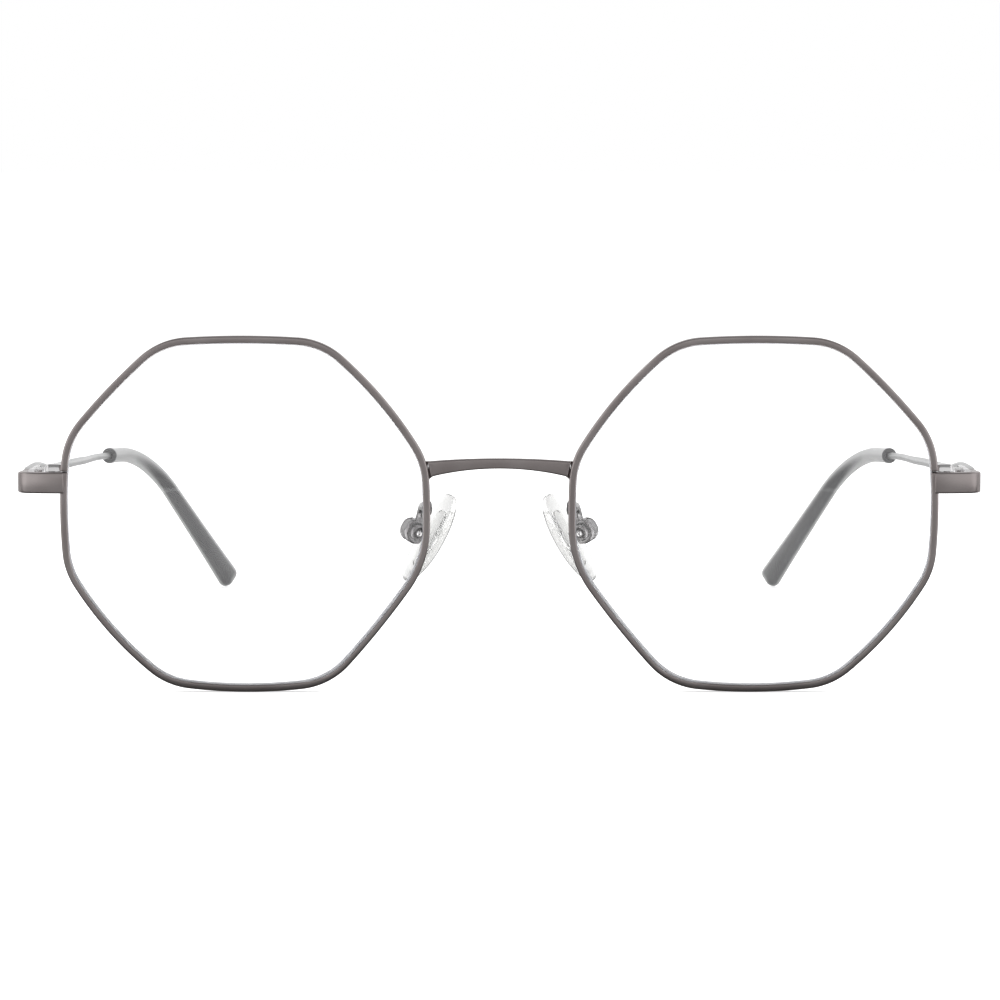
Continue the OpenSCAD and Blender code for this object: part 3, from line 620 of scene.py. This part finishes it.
def solder_bead(side):
    """A small egg of bright solder in the notch between the bridge and a rim."""
    a = np.linspace(-np.pi / 2, np.pi / 2, 15)[:, None]
    t = full_turn(24)[None]
    half_x, half_y, half_z = BEAD_HALF
    x = side * (rim_side_x(np.array([BEAD_Z]))[0] - BEAD_GAP) + half_x * np.cos(a) * np.cos(t)
    y = BRIDGE_SET + 0.08 + half_y * np.cos(a) * np.sin(t)
    return np.stack([x, y, BEAD_Z + half_z * np.sin(a) + 0 * t], -1)


grid = bridge_grid()
beads = [patch(solder_bead(k)) + (1,) for k in (1, -1)]
piece("bridge_bar", [patch(grid)] + beads, [gunmetal, nickel], "front", ["bridge"])
height = np.ptp(grid[..., 2], 1).round(2)
print("bridge:", grid.shape, "height", height[len(grid) // 2], "to", height[0], "mm")

# %% [markdown]
# ## End pieces
# A stamped strip laps over the rim's outer edge, runs out, turns through a right angle and
# ends at the hinge. Its section is a rectangle with soft edges, carried along a path with one
# round bend. The front end is rounded a little.


# %% Strips and blocks
def strip(path, normals, width, height, radius, crown=0.0, steps=5):
    """Carries a rounded rectangle along a flat path in X and Y. normals point to the outer
    face, width is the thickness there and height runs along Z. The outer face falls back by
    crown * (share of the half height) squared."""
    sec = rounded([[-width / 2, -height / 2], [width / 2, -height / 2], [width / 2, height / 2],
                   [-width / 2, height / 2]], radius, steps)
    sec[:, 0] -= crown * (sec[:, 0] > 0) * (2 * sec[:, 1] / height) ** 2
    xy = path[:, None, :] + normals[:, None, :] * sec[None, :, :1]
    z = np.broadcast_to(sec[:, 1], xy.shape[:2])
    return np.concatenate([xy, z[..., None]], -1)


ROUND_END = [(0.04, 0.99), (0.08, 0.96), (0.11, 0.92), (0.12, 0.86)]
END_CROWN = 13.0


def end_piece_grid():
    """A faintly crowned run, a bend and the return leg: middle line and outer normals."""
    mid_r = END_BEND_R - END_T / 2
    start, lean = RIM_EDGE_X - END_LAP + 0.12, np.radians(END_CROWN)
    cx = END_X - END_T / 2 - mid_r
    run = cx + mid_r * np.sin(lean) - start
    a = np.linspace(0, lean, 12)[:-1]
    front = np.stack([start + run * np.sin(a) / np.sin(lean),
                      END_T / 2 - END_LEAD + run * (1 - np.cos(a)) / np.sin(lean)], -1)
    cy = END_T / 2 - END_LEAD + run * (1 - np.cos(lean)) / np.sin(lean) + mid_r * np.cos(lean)
    t = np.linspace(lean - np.pi / 2, 0, 15)
    bend = np.stack([cx + mid_r * np.cos(t), cy + mid_r * np.sin(t)], -1)
    leg = np.linspace(cy, HINGE_Y - FACE_PLAY - 0.12, 10)[1:]
    back = np.stack([np.full_like(leg, END_X - END_T / 2), leg], -1)
    path = np.vstack([front, bend, back])
    normals = np.vstack([np.stack([np.sin(a), -np.cos(a)], -1),
                         np.stack([np.cos(t), np.sin(t)], -1), np.tile([1.0, 0], (len(leg), 1))])
    rows = strip(path, normals, END_T, END_H, [0.14, 0.26, 0.26, 0.14], 0.11, 9)
    rows[..., 2] *= 1 - 0.1 * np.clip((path[:, 1] - 2) / 4, 0, 1)[:, None]
    rows += [0, 0, END_Z]
    return tapered_ends(rows, [-1, 0, 0], [0, 1, 0], ROUND_END)


grid = end_piece_grid()
pair("end_strip", "end_piece", [patch(grid)], gunmetal, "front", 45)
print("end piece:", grid.shape, "reach", grid[..., 0].max().round(2), "mm")

# %% [markdown]
# ## Temples and tips
# A temple is one length of wire. Its front is pressed flat for the hinge, tapers into a round
# wire, and runs straight back. Behind the ear it bends down and sweeps inward. Both turns grow
# evenly along the wire, so the middle line is found by adding up small steps whose direction
# follows the two angles. The tip is a sleeve on the same line, round where the wire enters and
# oval at its end.

# %% The temple's middle line
TEMPLE_L, BUTT_L, TAPER_L, TIP_L = 143.3, 10.0, 16.0, 47.0
FALL, TOE = 2.75, 0.65
BEND_AT, BEND_L, BEND = 102.0, 18.0, 44.0
SWEEP_AT, SWEEP_L, SWEEP = 85.0, 34.0, 35.0
BUTT_HALF_T, BUTT_HALF_H, BUTT_CORNER, WIRE_R, WIRE_END_R = 0.6, 1.5, 0.35, 0.7, 0.55
BUTT = np.array([END_X - END_T + BUTT_HALF_T, HINGE_Y + FACE_PLAY, END_Z + FACE_PLAY])
TIP_AT = TEMPLE_L - TIP_L


def direction(s):
    """Direction of the wire at a length s: it falls and turns in by two angles that grow
    evenly over the butt, the ear bend and the inward sweep."""
    start = np.clip((s - BUTT_L / 2) / BUTT_L, 0, 1)
    fall = np.radians(-FALL * start - BEND * np.clip((s - BEND_AT) / BEND_L, 0, 1))
    toe = np.radians(TOE * start + SWEEP * np.clip((s - SWEEP_AT) / SWEEP_L, 0, 1))
    return np.stack([-np.sin(toe) * np.cos(fall), np.cos(toe) * np.cos(fall), np.sin(fall)], -1)


STEP = 0.25
walk_s = np.arange(0, TEMPLE_L + 1, STEP)
walk = BUTT + np.vstack([np.zeros(3), np.cumsum(direction(walk_s + STEP / 2) * STEP, 0)])[:-1]


def tube(s, half_w, half_h, corner, points=48):
    """Rounded rectangles on the middle line: four quarter arcs of the corner's radius, set in
    from the half width and half height."""
    sizes = np.broadcast_arrays(s, half_w, half_h, corner)
    s, half_w, half_h, corner = (np.asarray(v, float)[:, None] for v in sizes)
    mid = np.stack([np.interp(s[:, 0], walk_s, walk[:, c]) for c in range(3)], -1)[:, None, :]
    d = direction(s[:, 0])
    side = np.stack([d[:, 1], -d[:, 0], np.zeros(len(d))], -1)
    side /= np.linalg.norm(side, axis=1)[:, None]
    up = np.cross(side, d)
    t = (np.arange(points)[None, :] + 0.5) / points * 2 * np.pi
    x = np.sign(np.cos(t)) * (half_w - corner) + corner * np.cos(t)
    z = np.sign(np.sin(t)) * (half_h - corner) + corner * np.sin(t)
    return mid + side[:, None, :] * x[..., None] + up[:, None, :] * z[..., None]


# %% Temples
def wire_grid():
    """Flat butt, taper and round wire, as far as the end of its core inside the tip."""
    round_at = BUTT_L + TAPER_L
    s = np.concatenate([np.linspace(0, BUTT_L, 12), np.linspace(BUTT_L, round_at, 20)[1:],
                        np.arange(round_at + 1.5, TEMPLE_L - 8, 1.2)])
    t = np.clip((s - BUTT_L) / TAPER_L, 0, 1)
    t = t * t * (3 - 2 * t)
    thin = np.clip((s - round_at) / (TIP_AT - round_at), 0, 1)
    r = WIRE_R + (WIRE_END_R - WIRE_R) * thin
    w, h, c = (v + (r - v) * t for v in (BUTT_HALF_T, BUTT_HALF_H, BUTT_CORNER))
    edge = 1 - 0.12 * np.clip(1 - s / 0.3, 0, 1) ** 2
    return tube(s, w * edge, h * edge, c * edge)


grid = wire_grid()
pair("temple_wire", "temple", [patch(grid)], wire, "temple_arm", 60)
print("temple:", grid.shape, "reaches back to", grid[..., 1].max().round(1), "mm")


# %% Tips
BORE_R, MOUTH_R, END_HALF_W, END_HALF_H, END_ROUND = 0.57, 1.21, 1.3, 2.1, 1.3
LIP_SWELL = ([0, 0.03, 0.1, 0.22, 0.8, 3.0], [0.99, 1.04, 1.065, 1.08, 1.07, 1.0])


def tip_grid():
    """The sleeve: up the bore, round the mouth and back over the outer skin to the round end."""
    bore = tube(np.linspace(TEMPLE_L - 7.7, TIP_AT + 0.15, 40), BORE_R, BORE_R, BORE_R)
    s = np.concatenate([TIP_AT + np.array([0, 0.03, 0.1, 0.22, 0.4]),
                        np.arange(TIP_AT + 0.8, TEMPLE_L - 1.6, 0.8)])
    lip = np.interp(s - TIP_AT, *LIP_SWELL)
    a = np.linspace(0, np.pi / 2, 12)[:-1]
    tail = TEMPLE_L - END_ROUND + END_ROUND * np.sin(a)
    s, shrink = np.concatenate([s, tail]), np.concatenate([lip, 0.45 + 0.55 * np.cos(a) ** 0.7])
    t = (s - TIP_AT) / TIP_L
    w = (MOUTH_R + (END_HALF_W - MOUTH_R) * t) * shrink
    h = (MOUTH_R + (END_HALF_H - MOUTH_R) * t**2.3) * shrink
    mouth = tube([TIP_AT + 0.02], 0.62, 0.62, 0.62)
    return np.concatenate([bore, mouth, tube(s, w, h, np.minimum(w, h) * 0.98)])


grid = tip_grid()
pair("tip_sleeve", "temple_tip", [patch(grid)], tip_mat, "temple_arm", 60)
print("tip:", grid.shape, "lowest point", grid[..., 2].min().round(2), "mm")

# %% [markdown]
# ## Nose pads
# Each pad turns a little on a screw in its box, so that it settles on the nose. The pad is a
# soft oval with a crowned face. Its frame leans with the nose: x points away from the nose, y
# from front to back and z up along the pad.

# %% The pad's own frame
PAD_X, PAD_Y, PAD_Z = 11.9, 7.5, LENS_Z - 3.15
PAD_FLARE, PAD_SPLAY, PAD_LEAN, PAD_SEAT, PAD_SHIFT = 29.0, 21.0, 5.0, 2.45, 0.1


def turn(axis, degrees):
    """Rotation matrix about one axis."""
    c, s = np.cos(np.radians(degrees)), np.sin(np.radians(degrees))
    i, j = [(1, 2), (2, 0), (0, 1)][axis]
    m = np.eye(3)
    m[i, i], m[i, j], m[j, i], m[j, j] = c, -s, s, c
    return m


pad_turn = turn(0, -PAD_LEAN) @ turn(1, -PAD_FLARE) @ turn(2, -PAD_SPLAY)


def in_pad_frame(points):
    return points @ pad_turn.T + [PAD_X, PAD_Y, PAD_Z]


# %% Pads
PAD_L, PAD_W, PAD_T, PAD_EDGE, PAD_SWELL, PAD_FULL, CROWN_R = 14.0, 8.5, 1.8, 0.42, 0.08, 0.68, 24.0


def full(value, power):
    """A signed power, which makes an oval fuller below 1."""
    return np.sign(value) * abs(value) ** power


def pad_grid(columns=112):
    """Rings from the middle of the outer face over a soft edge to the middle of the face that
    meets the nose. The oval is a superellipse, the nose face is part of a ball, and a low lip
    with a hollow inside it runs along the edge of the outer face."""
    t = full_turn(columns)
    oval_z, oval_y = full(np.cos(t), PAD_FULL), full(np.sin(t), PAD_FULL)
    edge = np.linspace(np.pi / 2, -np.pi / 2, 15)
    face = np.concatenate([[0.03], np.linspace(0.1, 1, 22)])
    share = np.concatenate([face, np.ones(13), face[::-1]])
    a = np.concatenate([np.full(23, np.pi / 2), edge[1:-1], np.full(23, -np.pi / 2)])
    inset = PAD_EDGE * (1 - np.cos(a))
    z = share[:, None] * oval_z * (PAD_L / 2 - inset[:, None])
    y = share[:, None] * oval_y * (PAD_W / 2 - inset[:, None])
    y = y * (1 + PAD_SWELL * oval_z * share[:, None])
    crown = (y**2 + z**2) / (2 * CROWN_R)
    outer, inner = PAD_T / 2 - 0.2 * crown, -PAD_T / 2 + crown
    lip = 0.10 * bell(share, 0.80, 0.05) - 0.08 * bell(share, 0.62, 0.06)
    x = (outer + inner) / 2 + (outer - inner) / 2 * np.sin(a)[:, None] + (lip * (a > 0))[:, None]
    return np.stack([x - PAD_SEAT, y, z + PAD_SHIFT], -1)


grid = pad_grid()
pair("pad_cushion", "nose_pad", [patch(in_pad_frame(grid))], pad_mat, "pad_assembly", 60)
print("pad:", grid.shape, "size", np.ptp(grid.reshape(-1, 3), 0).round(2), "mm")

# %% [markdown]
# ## Pad arms
# A thin wire is flattened at its foot and soldered to the back of the rim. It runs back, bends
# down and ends in the pad box.


# %% Pad arms
def wire_along(points, radius, columns=28):
    """A round wire along points: rings square to the path, turned as little as possible."""
    d = np.gradient(points, axis=0)
    d /= np.linalg.norm(d, axis=1)[:, None]
    flat = np.cross(d, pad_plane)
    flat /= np.linalg.norm(flat, axis=1)[:, None]
    other = np.cross(d, flat)
    t = full_turn(columns)
    r = np.broadcast_to(radius, len(points))[:, None, None]
    return points[:, None, :] + r * (flat[:, None, :] * np.cos(t)[None, :, None]
                                     + other[:, None, :] * np.sin(t)[None, :, None])


ARM_R, ARM_SWELL, ARM_LEAN, ARM_BEND_R, ARM_Z = 0.6, 0.16, 0.5, 1.8, LENS_Z + 0.75
FOOT_SHIFT, FOOT_HALF_W, FOOT_HALF_H = 0.24, 0.72, 1.1
foot, head = np.array([10.5, RIM_D + SOLDER]), np.array([PAD_X - 0.25, PAD_Y - 0.1])
reach = np.linalg.norm(head - foot)
ahead = np.append((head - foot) / reach, 0.0)
pad_plane = np.cross(ahead, [0, 0, 1.0])


def arm_points():
    """Middle line of the arm: back from the foot, a quarter bend, then down into the box. It
    leans towards the nose by the square of the way along, and comes back on the way down."""
    start = np.array([foot[0], foot[1], ARM_Z])
    run = np.linspace(0.2, reach - ARM_BEND_R, 10)[:-1]
    t = np.linspace(0, np.pi / 2, 16)
    along = np.concatenate([run, reach - ARM_BEND_R + ARM_BEND_R * np.sin(t), np.full(3, reach)])
    down = np.concatenate([np.zeros_like(run), ARM_BEND_R * (1 - np.cos(t)),
                           ARM_BEND_R + np.array([0.2, 0.4, 0.6])])
    lean = ARM_LEAN * (along / reach) ** 2 * (1 - down / down.max())
    return start + ahead * along[:, None] + np.stack([-lean, 0 * lean, -down], -1)


def foot_grid():
    """The flattened foot: a rounded plate on the rim's back that swells into the wire."""
    side_way = np.cross([0, 0, 1.0], ahead)
    depth = np.array([0, 0.12, 0.3, 0.45, 0.6, 0.75])
    size = np.array([0.97, 1.0, 0.98, 0.88, 0.7, 0.5])
    t = full_turn(40)
    y = FOOT_SHIFT + FOOT_HALF_W * full(np.cos(t), 0.6)[None, :] * size[:, None]
    z = FOOT_HALF_H * full(np.sin(t), 0.6)[None, :] * size[:, None]
    base = np.array([foot[0], foot[1], ARM_Z])
    grid = base + side_way * y[..., None] + np.array([0, 0, 1.0]) * z[..., None]
    grid[..., 1] = foot[1] + depth[:, None]
    return grid


points = arm_points()
low = np.clip((points[0, 2] - points[:, 2] - 1.5) / 0.9, 0, 1)
rod = wire_along(points, ARM_R + ARM_SWELL * low**2)
pair("arm_wire", "pad_arm", [patch(rod), patch(foot_grid())], plated, "front", 50)
run = np.linalg.norm(np.diff(points, axis=0), axis=1).sum()
print("pad arm:", rod.shape, "length", run.round(2), "mm")

# %% [markdown]
# ## Pad boxes and their screws
# The box is a small fork of cast metal. Its front cheek has a raised ring round the hole and
# steps down to the outer wall. The screw runs through both cheeks and the pad's tab, and its
# end shows bright in the ring.

# %% Pad boxes
BOX_HALF, CHEEK_T, HOLE_R, STEP_R = 1.15, 0.55, 0.5, 1.02
box_line = rounded(
    [[-0.75, -1.35], [0.1, -1.75], [1.1, -1.75], [1.9, -1.3], [2.3, -0.5], [2.3, 0.6],
     [2.0, 1.15], [1.4, 1.6], [0.0, 1.6], [-0.75, 1.2]],
    [0.3, 0.9, 0.9, 0.9, 0.8, 0.8, 0.8, 0.5, 0.4, 0.3], 5)

# Rings of a cheek, from the hole to the wall: radius, share of the way on to the outline, depth.
PLAIN_RINGS = [(HOLE_R, 0, 0.3), (HOLE_R, 0, 0.08), (0.56, 0, 0)]
RAISED_RINGS = [(HOLE_R, 0, 0.5), (HOLE_R, 0, 0.34), (0.53, 0, 0.3), (0.78, 0, 0.13),
                (0.84, 0, 0.03), (0.9, 0, -0.02), (0.98, 0, -0.04), (STEP_R, 0.05, -0.02),
                (STEP_R, 0.18, 0.05), (STEP_R, 0.32, 0.06), (STEP_R, 0.45, 0)]
WALL_RINGS = [(STEP_R, 0.7, 0), (STEP_R, 0.84, 0.03), (STEP_R, 0.94, 0.09), (STEP_R, 1, 0.2)]
BACK_RINGS = [(1.0, 0.1), (0.97, 0.03), (0.9, 0.0)]


def prism(section, y0, y1, edge=0.12, steps=4):
    """A section in X and Z carried from y0 to y1, with a rounded edge at both ends."""
    mid = section.mean(0)
    reach = np.linalg.norm(section - mid, axis=1)[:, None]
    a = np.linspace(0, np.pi / 2, steps + 1)
    inset = np.concatenate([edge * (1 - np.sin(a)), edge * (1 - np.cos(a))])
    depth = np.concatenate([y0 + edge * (1 - np.cos(a)), y1 - edge * (1 - np.sin(a))])
    rows = mid + (section - mid)[None] * (1 - inset[:, None, None] / reach)
    depth = np.broadcast_to(depth[:, None], rows.shape[:2])
    return np.stack([rows[..., 0], depth, rows[..., 1]], -1)


def cheek(face_y, back_y, terraced, columns=96):
    """A plate round the screw's hole: rings grow from the hole to the box's outline. The
    outline's radius at each angle comes from the rounded polygon."""
    angle = np.linspace(-np.pi, np.pi, columns, endpoint=False)
    step = (np.roll(box_line, -1, 0) - box_line)[:, None]
    dense = box_line[:, None] + step * np.linspace(0, 1, 8, endpoint=False)[None, :, None]
    x, z = dense.reshape(-1, 2).T
    outer = np.interp(angle, np.arctan2(z, x), np.hypot(x, z), period=2 * np.pi)
    into = 1 if back_y > face_y else -1
    rows = []
    for r, share, depth in (RAISED_RINGS if terraced else PLAIN_RINGS) + WALL_RINGS:
        inner = np.minimum(r, outer * 0.86)
        rows.append((inner + (outer - inner) * share, face_y + into * depth))
    for share, depth in BACK_RINGS:
        rows.append((HOLE_R + (outer - HOLE_R) * share, back_y - into * depth))
    rows.append((np.full(columns, HOLE_R), back_y))
    radius, depth = (np.stack([np.broadcast_to(v, columns) for v in c]) for c in zip(*rows))
    return np.stack([radius * np.cos(angle), depth, radius * np.sin(angle)], -1)


def lathe(profile, columns=40):
    """Turns a profile of (radius, height) pairs about the Y axis."""
    t = full_turn(columns)
    r, y = np.asarray(profile, float).T[:, :, None]
    return np.stack([r * np.cos(t), np.broadcast_to(y, (len(y), columns)), r * np.sin(t)], -1)


web = [
    rounded([[1.66, -1.3], [2.0, -1.0], [2.27, -0.45], [2.27, 0.6], [1.95, 1.1], [1.66, 1.3]],
            [0.1, 0.3, 0.6, 0.6, 0.3, 0.1]),
    rounded([[-0.65, 1.12], [1.9, 1.12], [1.4, 1.57], [0.0, 1.57], [-0.65, 1.25]],
            [0.05, 0.2, 0.3, 0.2, 0.05])]
WEB_HALF, SCREW_R = 1.0, 0.46
screw = lathe([(0.02, -1.30), (0.2, -1.28), (0.33, -1.23), (0.42, -1.15), (SCREW_R, -1.03),
               (SCREW_R, 1.1), (0.4, 1.18), (0.2, 1.22), (0.02, 1.22)])
inner_y = BOX_HALF - CHEEK_T
cheeks = [cheek(-BOX_HALF, -inner_y, True), cheek(BOX_HALF, inner_y, False)]
fork = [patch(in_pad_frame(g), loop=True) for g in cheeks]
fork += [patch(in_pad_frame(prism(w, -WEB_HALF, WEB_HALF, 0.04))) for w in web]
for side, k in SIDES.items():
    piece("box_fork_" + side, fork, plated, "front", ["pad_box_" + side], k, 50)
    piece("box_screw_" + side, [patch(in_pad_frame(screw))], nickel, "front",
          ["pad_screw_" + side], k, 40)
print("pad box outline:", len(box_line), "points; screw", screw.shape)

# %% [markdown]
# ## Hinges and rim closings
# The small milled pieces keep the solid model's shapes. Tumbling in a drum softens the edges
# of the real ones, so a copy of each is joined up and gets a fine round along its edges. The
# upper closing block is a smooth cast dome.

# %% Copies with softened edges
import bmesh

FLAT, SHARP, SHADE, JOIN = np.radians(0.6), np.radians(32), 35, 2e-6


def softened(node, side, material, body, width):
    """A copy of a solid: corners joined, flat faces merged, sharp edges bevelled."""
    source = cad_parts[node + "_" + side]
    bm = bmesh.new()
    bm.from_mesh(source.data)
    bmesh.ops.remove_doubles(bm, verts=bm.verts, dist=JOIN)
    bmesh.ops.dissolve_limit(bm, angle_limit=FLAT, verts=bm.verts, edges=bm.edges)
    edges = [e for e in bm.edges if len(e.link_faces) == 2 and e.calc_face_angle(0) > SHARP]
    bmesh.ops.bevel(bm, geom=edges, offset=width * MM, segments=3, profile=0.5, affect="EDGES",
                    clamp_overlap=True)
    mesh = bpy.data.meshes.new(node + "_soft_" + side)
    bm.to_mesh(mesh)
    bm.free()
    shaded(mesh, SHADE)
    obj = placed(node + "_soft_" + side, mesh)
    mesh.materials.append(material)
    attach(obj, body)
    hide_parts(node + "_" + side)
    return obj


DOME_TAPER = 0.14


def dome(centre, half, powers, columns=64, rows=16):
    """The upper half of a rounded block: half sizes times signed powers of the cosine and the
    sine of two angles. It narrows by DOME_TAPER towards its top."""
    t = full_turn(columns)[None]
    a = np.linspace(0, np.pi / 2, rows)[:, None]
    ring = full(np.cos(a), powers[2])
    x, y = full(np.cos(t), powers[0]) * ring, full(np.sin(t), powers[1]) * ring
    z = full(np.sin(a), powers[2]) + 0 * x
    narrow = 1 - DOME_TAPER * z
    return np.asarray(centre) + np.stack([x * narrow, y * narrow, z], -1) * half


for side, k in SIDES.items():
    softened("hinge_front", side, nickel, "front", 0.12)
    softened("lock_lower", side, nickel, "front", 0.1)
    softened("lock_screw", side, steel, "front", 0.05)
    softened("hinge_screw", side, steel, "front", 0.06)
    obj = softened("hinge_temple", side, nickel, "temple_arm_" + side, 0.12)
    foot_at = [RIM_EDGE_X + 0.95, 2.1, LENS_Z + SLIT_Y + SLIT_W / 2]
    top = dome(foot_at, [1.38, 1.1, 1.0], (0.5, 0.6, 0.4))
    piece("lock_dome_" + side, [patch(top)], nickel, "front", ["lock_upper_" + side], k, 60)
print("softened pieces, last one with", len(obj.data.polygons), "faces")

# %% [markdown]
# ## The table and the light
# The photograph shows the frame on plain white. The floor and the backdrop stay white for the
# camera and for what mirrors or shines through, and the floor still takes the object's shadow.

# %% Stage
def seen_rays(tree):
    """1 for camera, glossy and transmitted rays, 0 for the rest: the largest of the three."""
    path = add_node(tree, "LightPath", {})
    seen = path.outputs["Is Camera Ray"]
    for ray in ("Is Glossy Ray", "Is Transmission Ray"):
        larger = add_node(tree, "Math", {0: seen, 1: path.outputs[ray]})
        larger.operation = "MAXIMUM"
        seen = larger.outputs[0]
    return seen


def seen_mix(tree, unseen, seen):
    """The second shader where the camera, glossy or transmitted rays look, else the first."""
    return add_node(tree, "MixShader", {0: seen_rays(tree), 1: unseen, 2: seen}).outputs[0]


def white_light(tree, kind, level):
    """White light of an even strength: an Emission or a Background."""
    return add_node(tree, kind, {"Color": (1, 1, 1, 1), "Strength": level}).outputs[0]


def bare_material(name):
    """A material with nothing but an output, its tree and that output. It isn't a lamp."""
    mat = bpy.data.materials.new(name)
    mat.use_nodes = True
    mat.node_tree.nodes.clear()
    mat.cycles.emission_sampling = "NONE"
    return mat, mat.node_tree, add_node(mat.node_tree, "OutputMaterial", {}).inputs[0]


def white_stage(name, glow, albedo=0.8):
    """Diffuse white that adds a little light of its own for camera, glossy and transmitted rays."""
    mat, tree, out = bare_material(name)
    diffuse = add_node(tree, "BsdfDiffuse", {"Color": (albedo, albedo, albedo, 1)}).outputs[0]
    dark, bright = white_light(tree, "Emission", 0.0), white_light(tree, "Emission", glow)
    both = add_node(tree, "AddShader", {0: diffuse, 1: seen_mix(tree, dark, bright)})
    tree.links.new(both.outputs[0], out)
    return mat


def plane(name, corners, material):
    mesh = bpy.data.meshes.new(name)
    mesh.from_pydata(corners, [], [(0, 1, 2, 3)])
    obj = placed(name, mesh)
    mesh.materials.append(material)
    return obj


FLOOR_HALF, FLOOR_DROP = 20, 0.00005
floor_z = min(cad_box[0][2], 0.0) - FLOOR_DROP
ends = [(x * FLOOR_HALF, y * FLOOR_HALF, floor_z) for x, y in ((-1, -1), (1, -1), (1, 1), (-1, 1))]
plane("floor", ends, white_stage("white_floor", 0.6))

world = bpy.data.worlds.new("studio")
bpy.context.scene.world = world
world.use_nodes = True
tree = world.node_tree
tree.nodes.clear()
room, white = white_light(tree, "Background", 0.55), white_light(tree, "Background", 1.0)
add_node(tree, "OutputWorld", {0: seen_mix(tree, room, white)})

# %% [markdown]
# Bright metal in a white room has no edges. A photographer stands grey cards round it, which
# only show as reflections: three in front, from the camera's height upwards, one on each
# side, one overhead, one behind, and three flat on the table. The one on the table right under
# the front is nearly black and is painted shade: it stands in for the floor's shade under the
# rims, which the floor's even glow would hide in reflections. The gaps between them stay white
# and draw the light lines along the bends and the upper edges.

# %% Cards that show only in reflections
def card(name, corners, level):
    """An even grey plane that only glossy rays see."""
    mat, tree, out = bare_material(name)
    tree.links.new(white_light(tree, "Emission", level), out)
    obj = plane(name, corners, mat)
    obj.visible_camera = obj.visible_diffuse = obj.visible_shadow = False
    obj.visible_transmission = False


def wide_card(name, half, near, far, level):
    """A card across the view, half wide to each side, between two lines given as Y and Z."""
    (y0, z0), (y1, z1) = near, far
    y0, y1 = F + y0, F + y1
    card(name, [(-half, y0, z0), (half, y0, z0), (half, y1, z1), (-half, y1, z1)], level)


F = FRONT_Y * MM
wide_card("card_front", 0.42, (-1.1, 0), (-1.1, 0.12), 0.40)
wide_card("card_band", 0.8, (-1.1, 0.12), (-1.1, 0.5), 0.8)
wide_card("card_high", 0.8, (-1.1, 0.5), (-0.5, 1.3), 0.3)
for name, x in (("card_left", -1.2), ("card_right", 1.2)):
    y0, y1 = F - 0.1, F + 0.9
    card(name, [(x, y0, 0), (x, y1, 0), (x, y1, 1), (x, y0, 1)], 0.58)
wide_card("card_above", 1.0, (-0.5, 1.3), (0.8, 1.3), 0.28)
wide_card("card_table", 0.25, (-1.1, 0), (-0.025, 0), 0.36)
# Painted shade: a near-black strip right under the front, seen only in reflections, stands in for
# the floor's shade under the rims.
wide_card("card_painted_floor_shade", 0.5, (-0.025, 0), (0.03, 0), 0.07)
wide_card("card_behind", 1.0, (0.04, 0), (1.6, 0), 0.6)
wide_card("card_back", 1.2, (1.6, 0.3), (1.6, 0.8), 0.7)

# %% Lamps and camera
from mathutils import Vector


def lamp(name, place, target, size, power):
    """A square soft lamp that looks at a target."""
    data = bpy.data.lights.new(name, "AREA")
    data.size, data.energy = size, power
    obj = placed(name, data)
    obj.location = place
    look = Vector(target) - Vector(place)
    obj.rotation_euler = look.to_track_quat("-Z", "Y").to_euler()
    obj.visible_glossy = obj.visible_transmission = False


middle = (0, F, 0.027)
lamp("top_softbox", (0.0, F + 0.15, 0.9), middle, 0.7, 9.0)
lamp("front_fill", (-0.35, F - 0.9, 0.55), middle, 0.5, 4.0)

DISTANCE, CAMERA_Z, TARGET_Z, FOCAL_PX, CENTRE_PX = 550.0, 75.8, 27.45, 3896.0, 499.3
camera_data = bpy.data.cameras.new("camera")
camera_data.sensor_width = 36.0
camera_data.lens = FOCAL_PX / 1000 * camera_data.sensor_width
camera_data.shift_x = (500 - CENTRE_PX) / 1000
camera_data.clip_start, camera_data.clip_end = 0.01, 20.0
camera = placed("camera", camera_data)
camera.location = (0, (FRONT_Y - DISTANCE) * MM, CAMERA_Z * MM)
aim = Vector((0, F, TARGET_Z * MM)) - camera.location
camera.rotation_euler = aim.to_track_quat("-Z", "Y").to_euler()
bpy.context.scene.camera = camera
bpy.context.scene.view_settings.view_transform = "Standard"
place = tuple(round(v, 3) for v in camera.location)
print("camera at", place, "lens", round(camera_data.lens, 1), "mm")

# %% Finishes of the solids that stay, and the end
for side in SIDES:
    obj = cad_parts["pad_core_" + side]
    obj.data.materials.clear()
    obj.data.materials.append(core_mat)

bpy.context.view_layer.update()
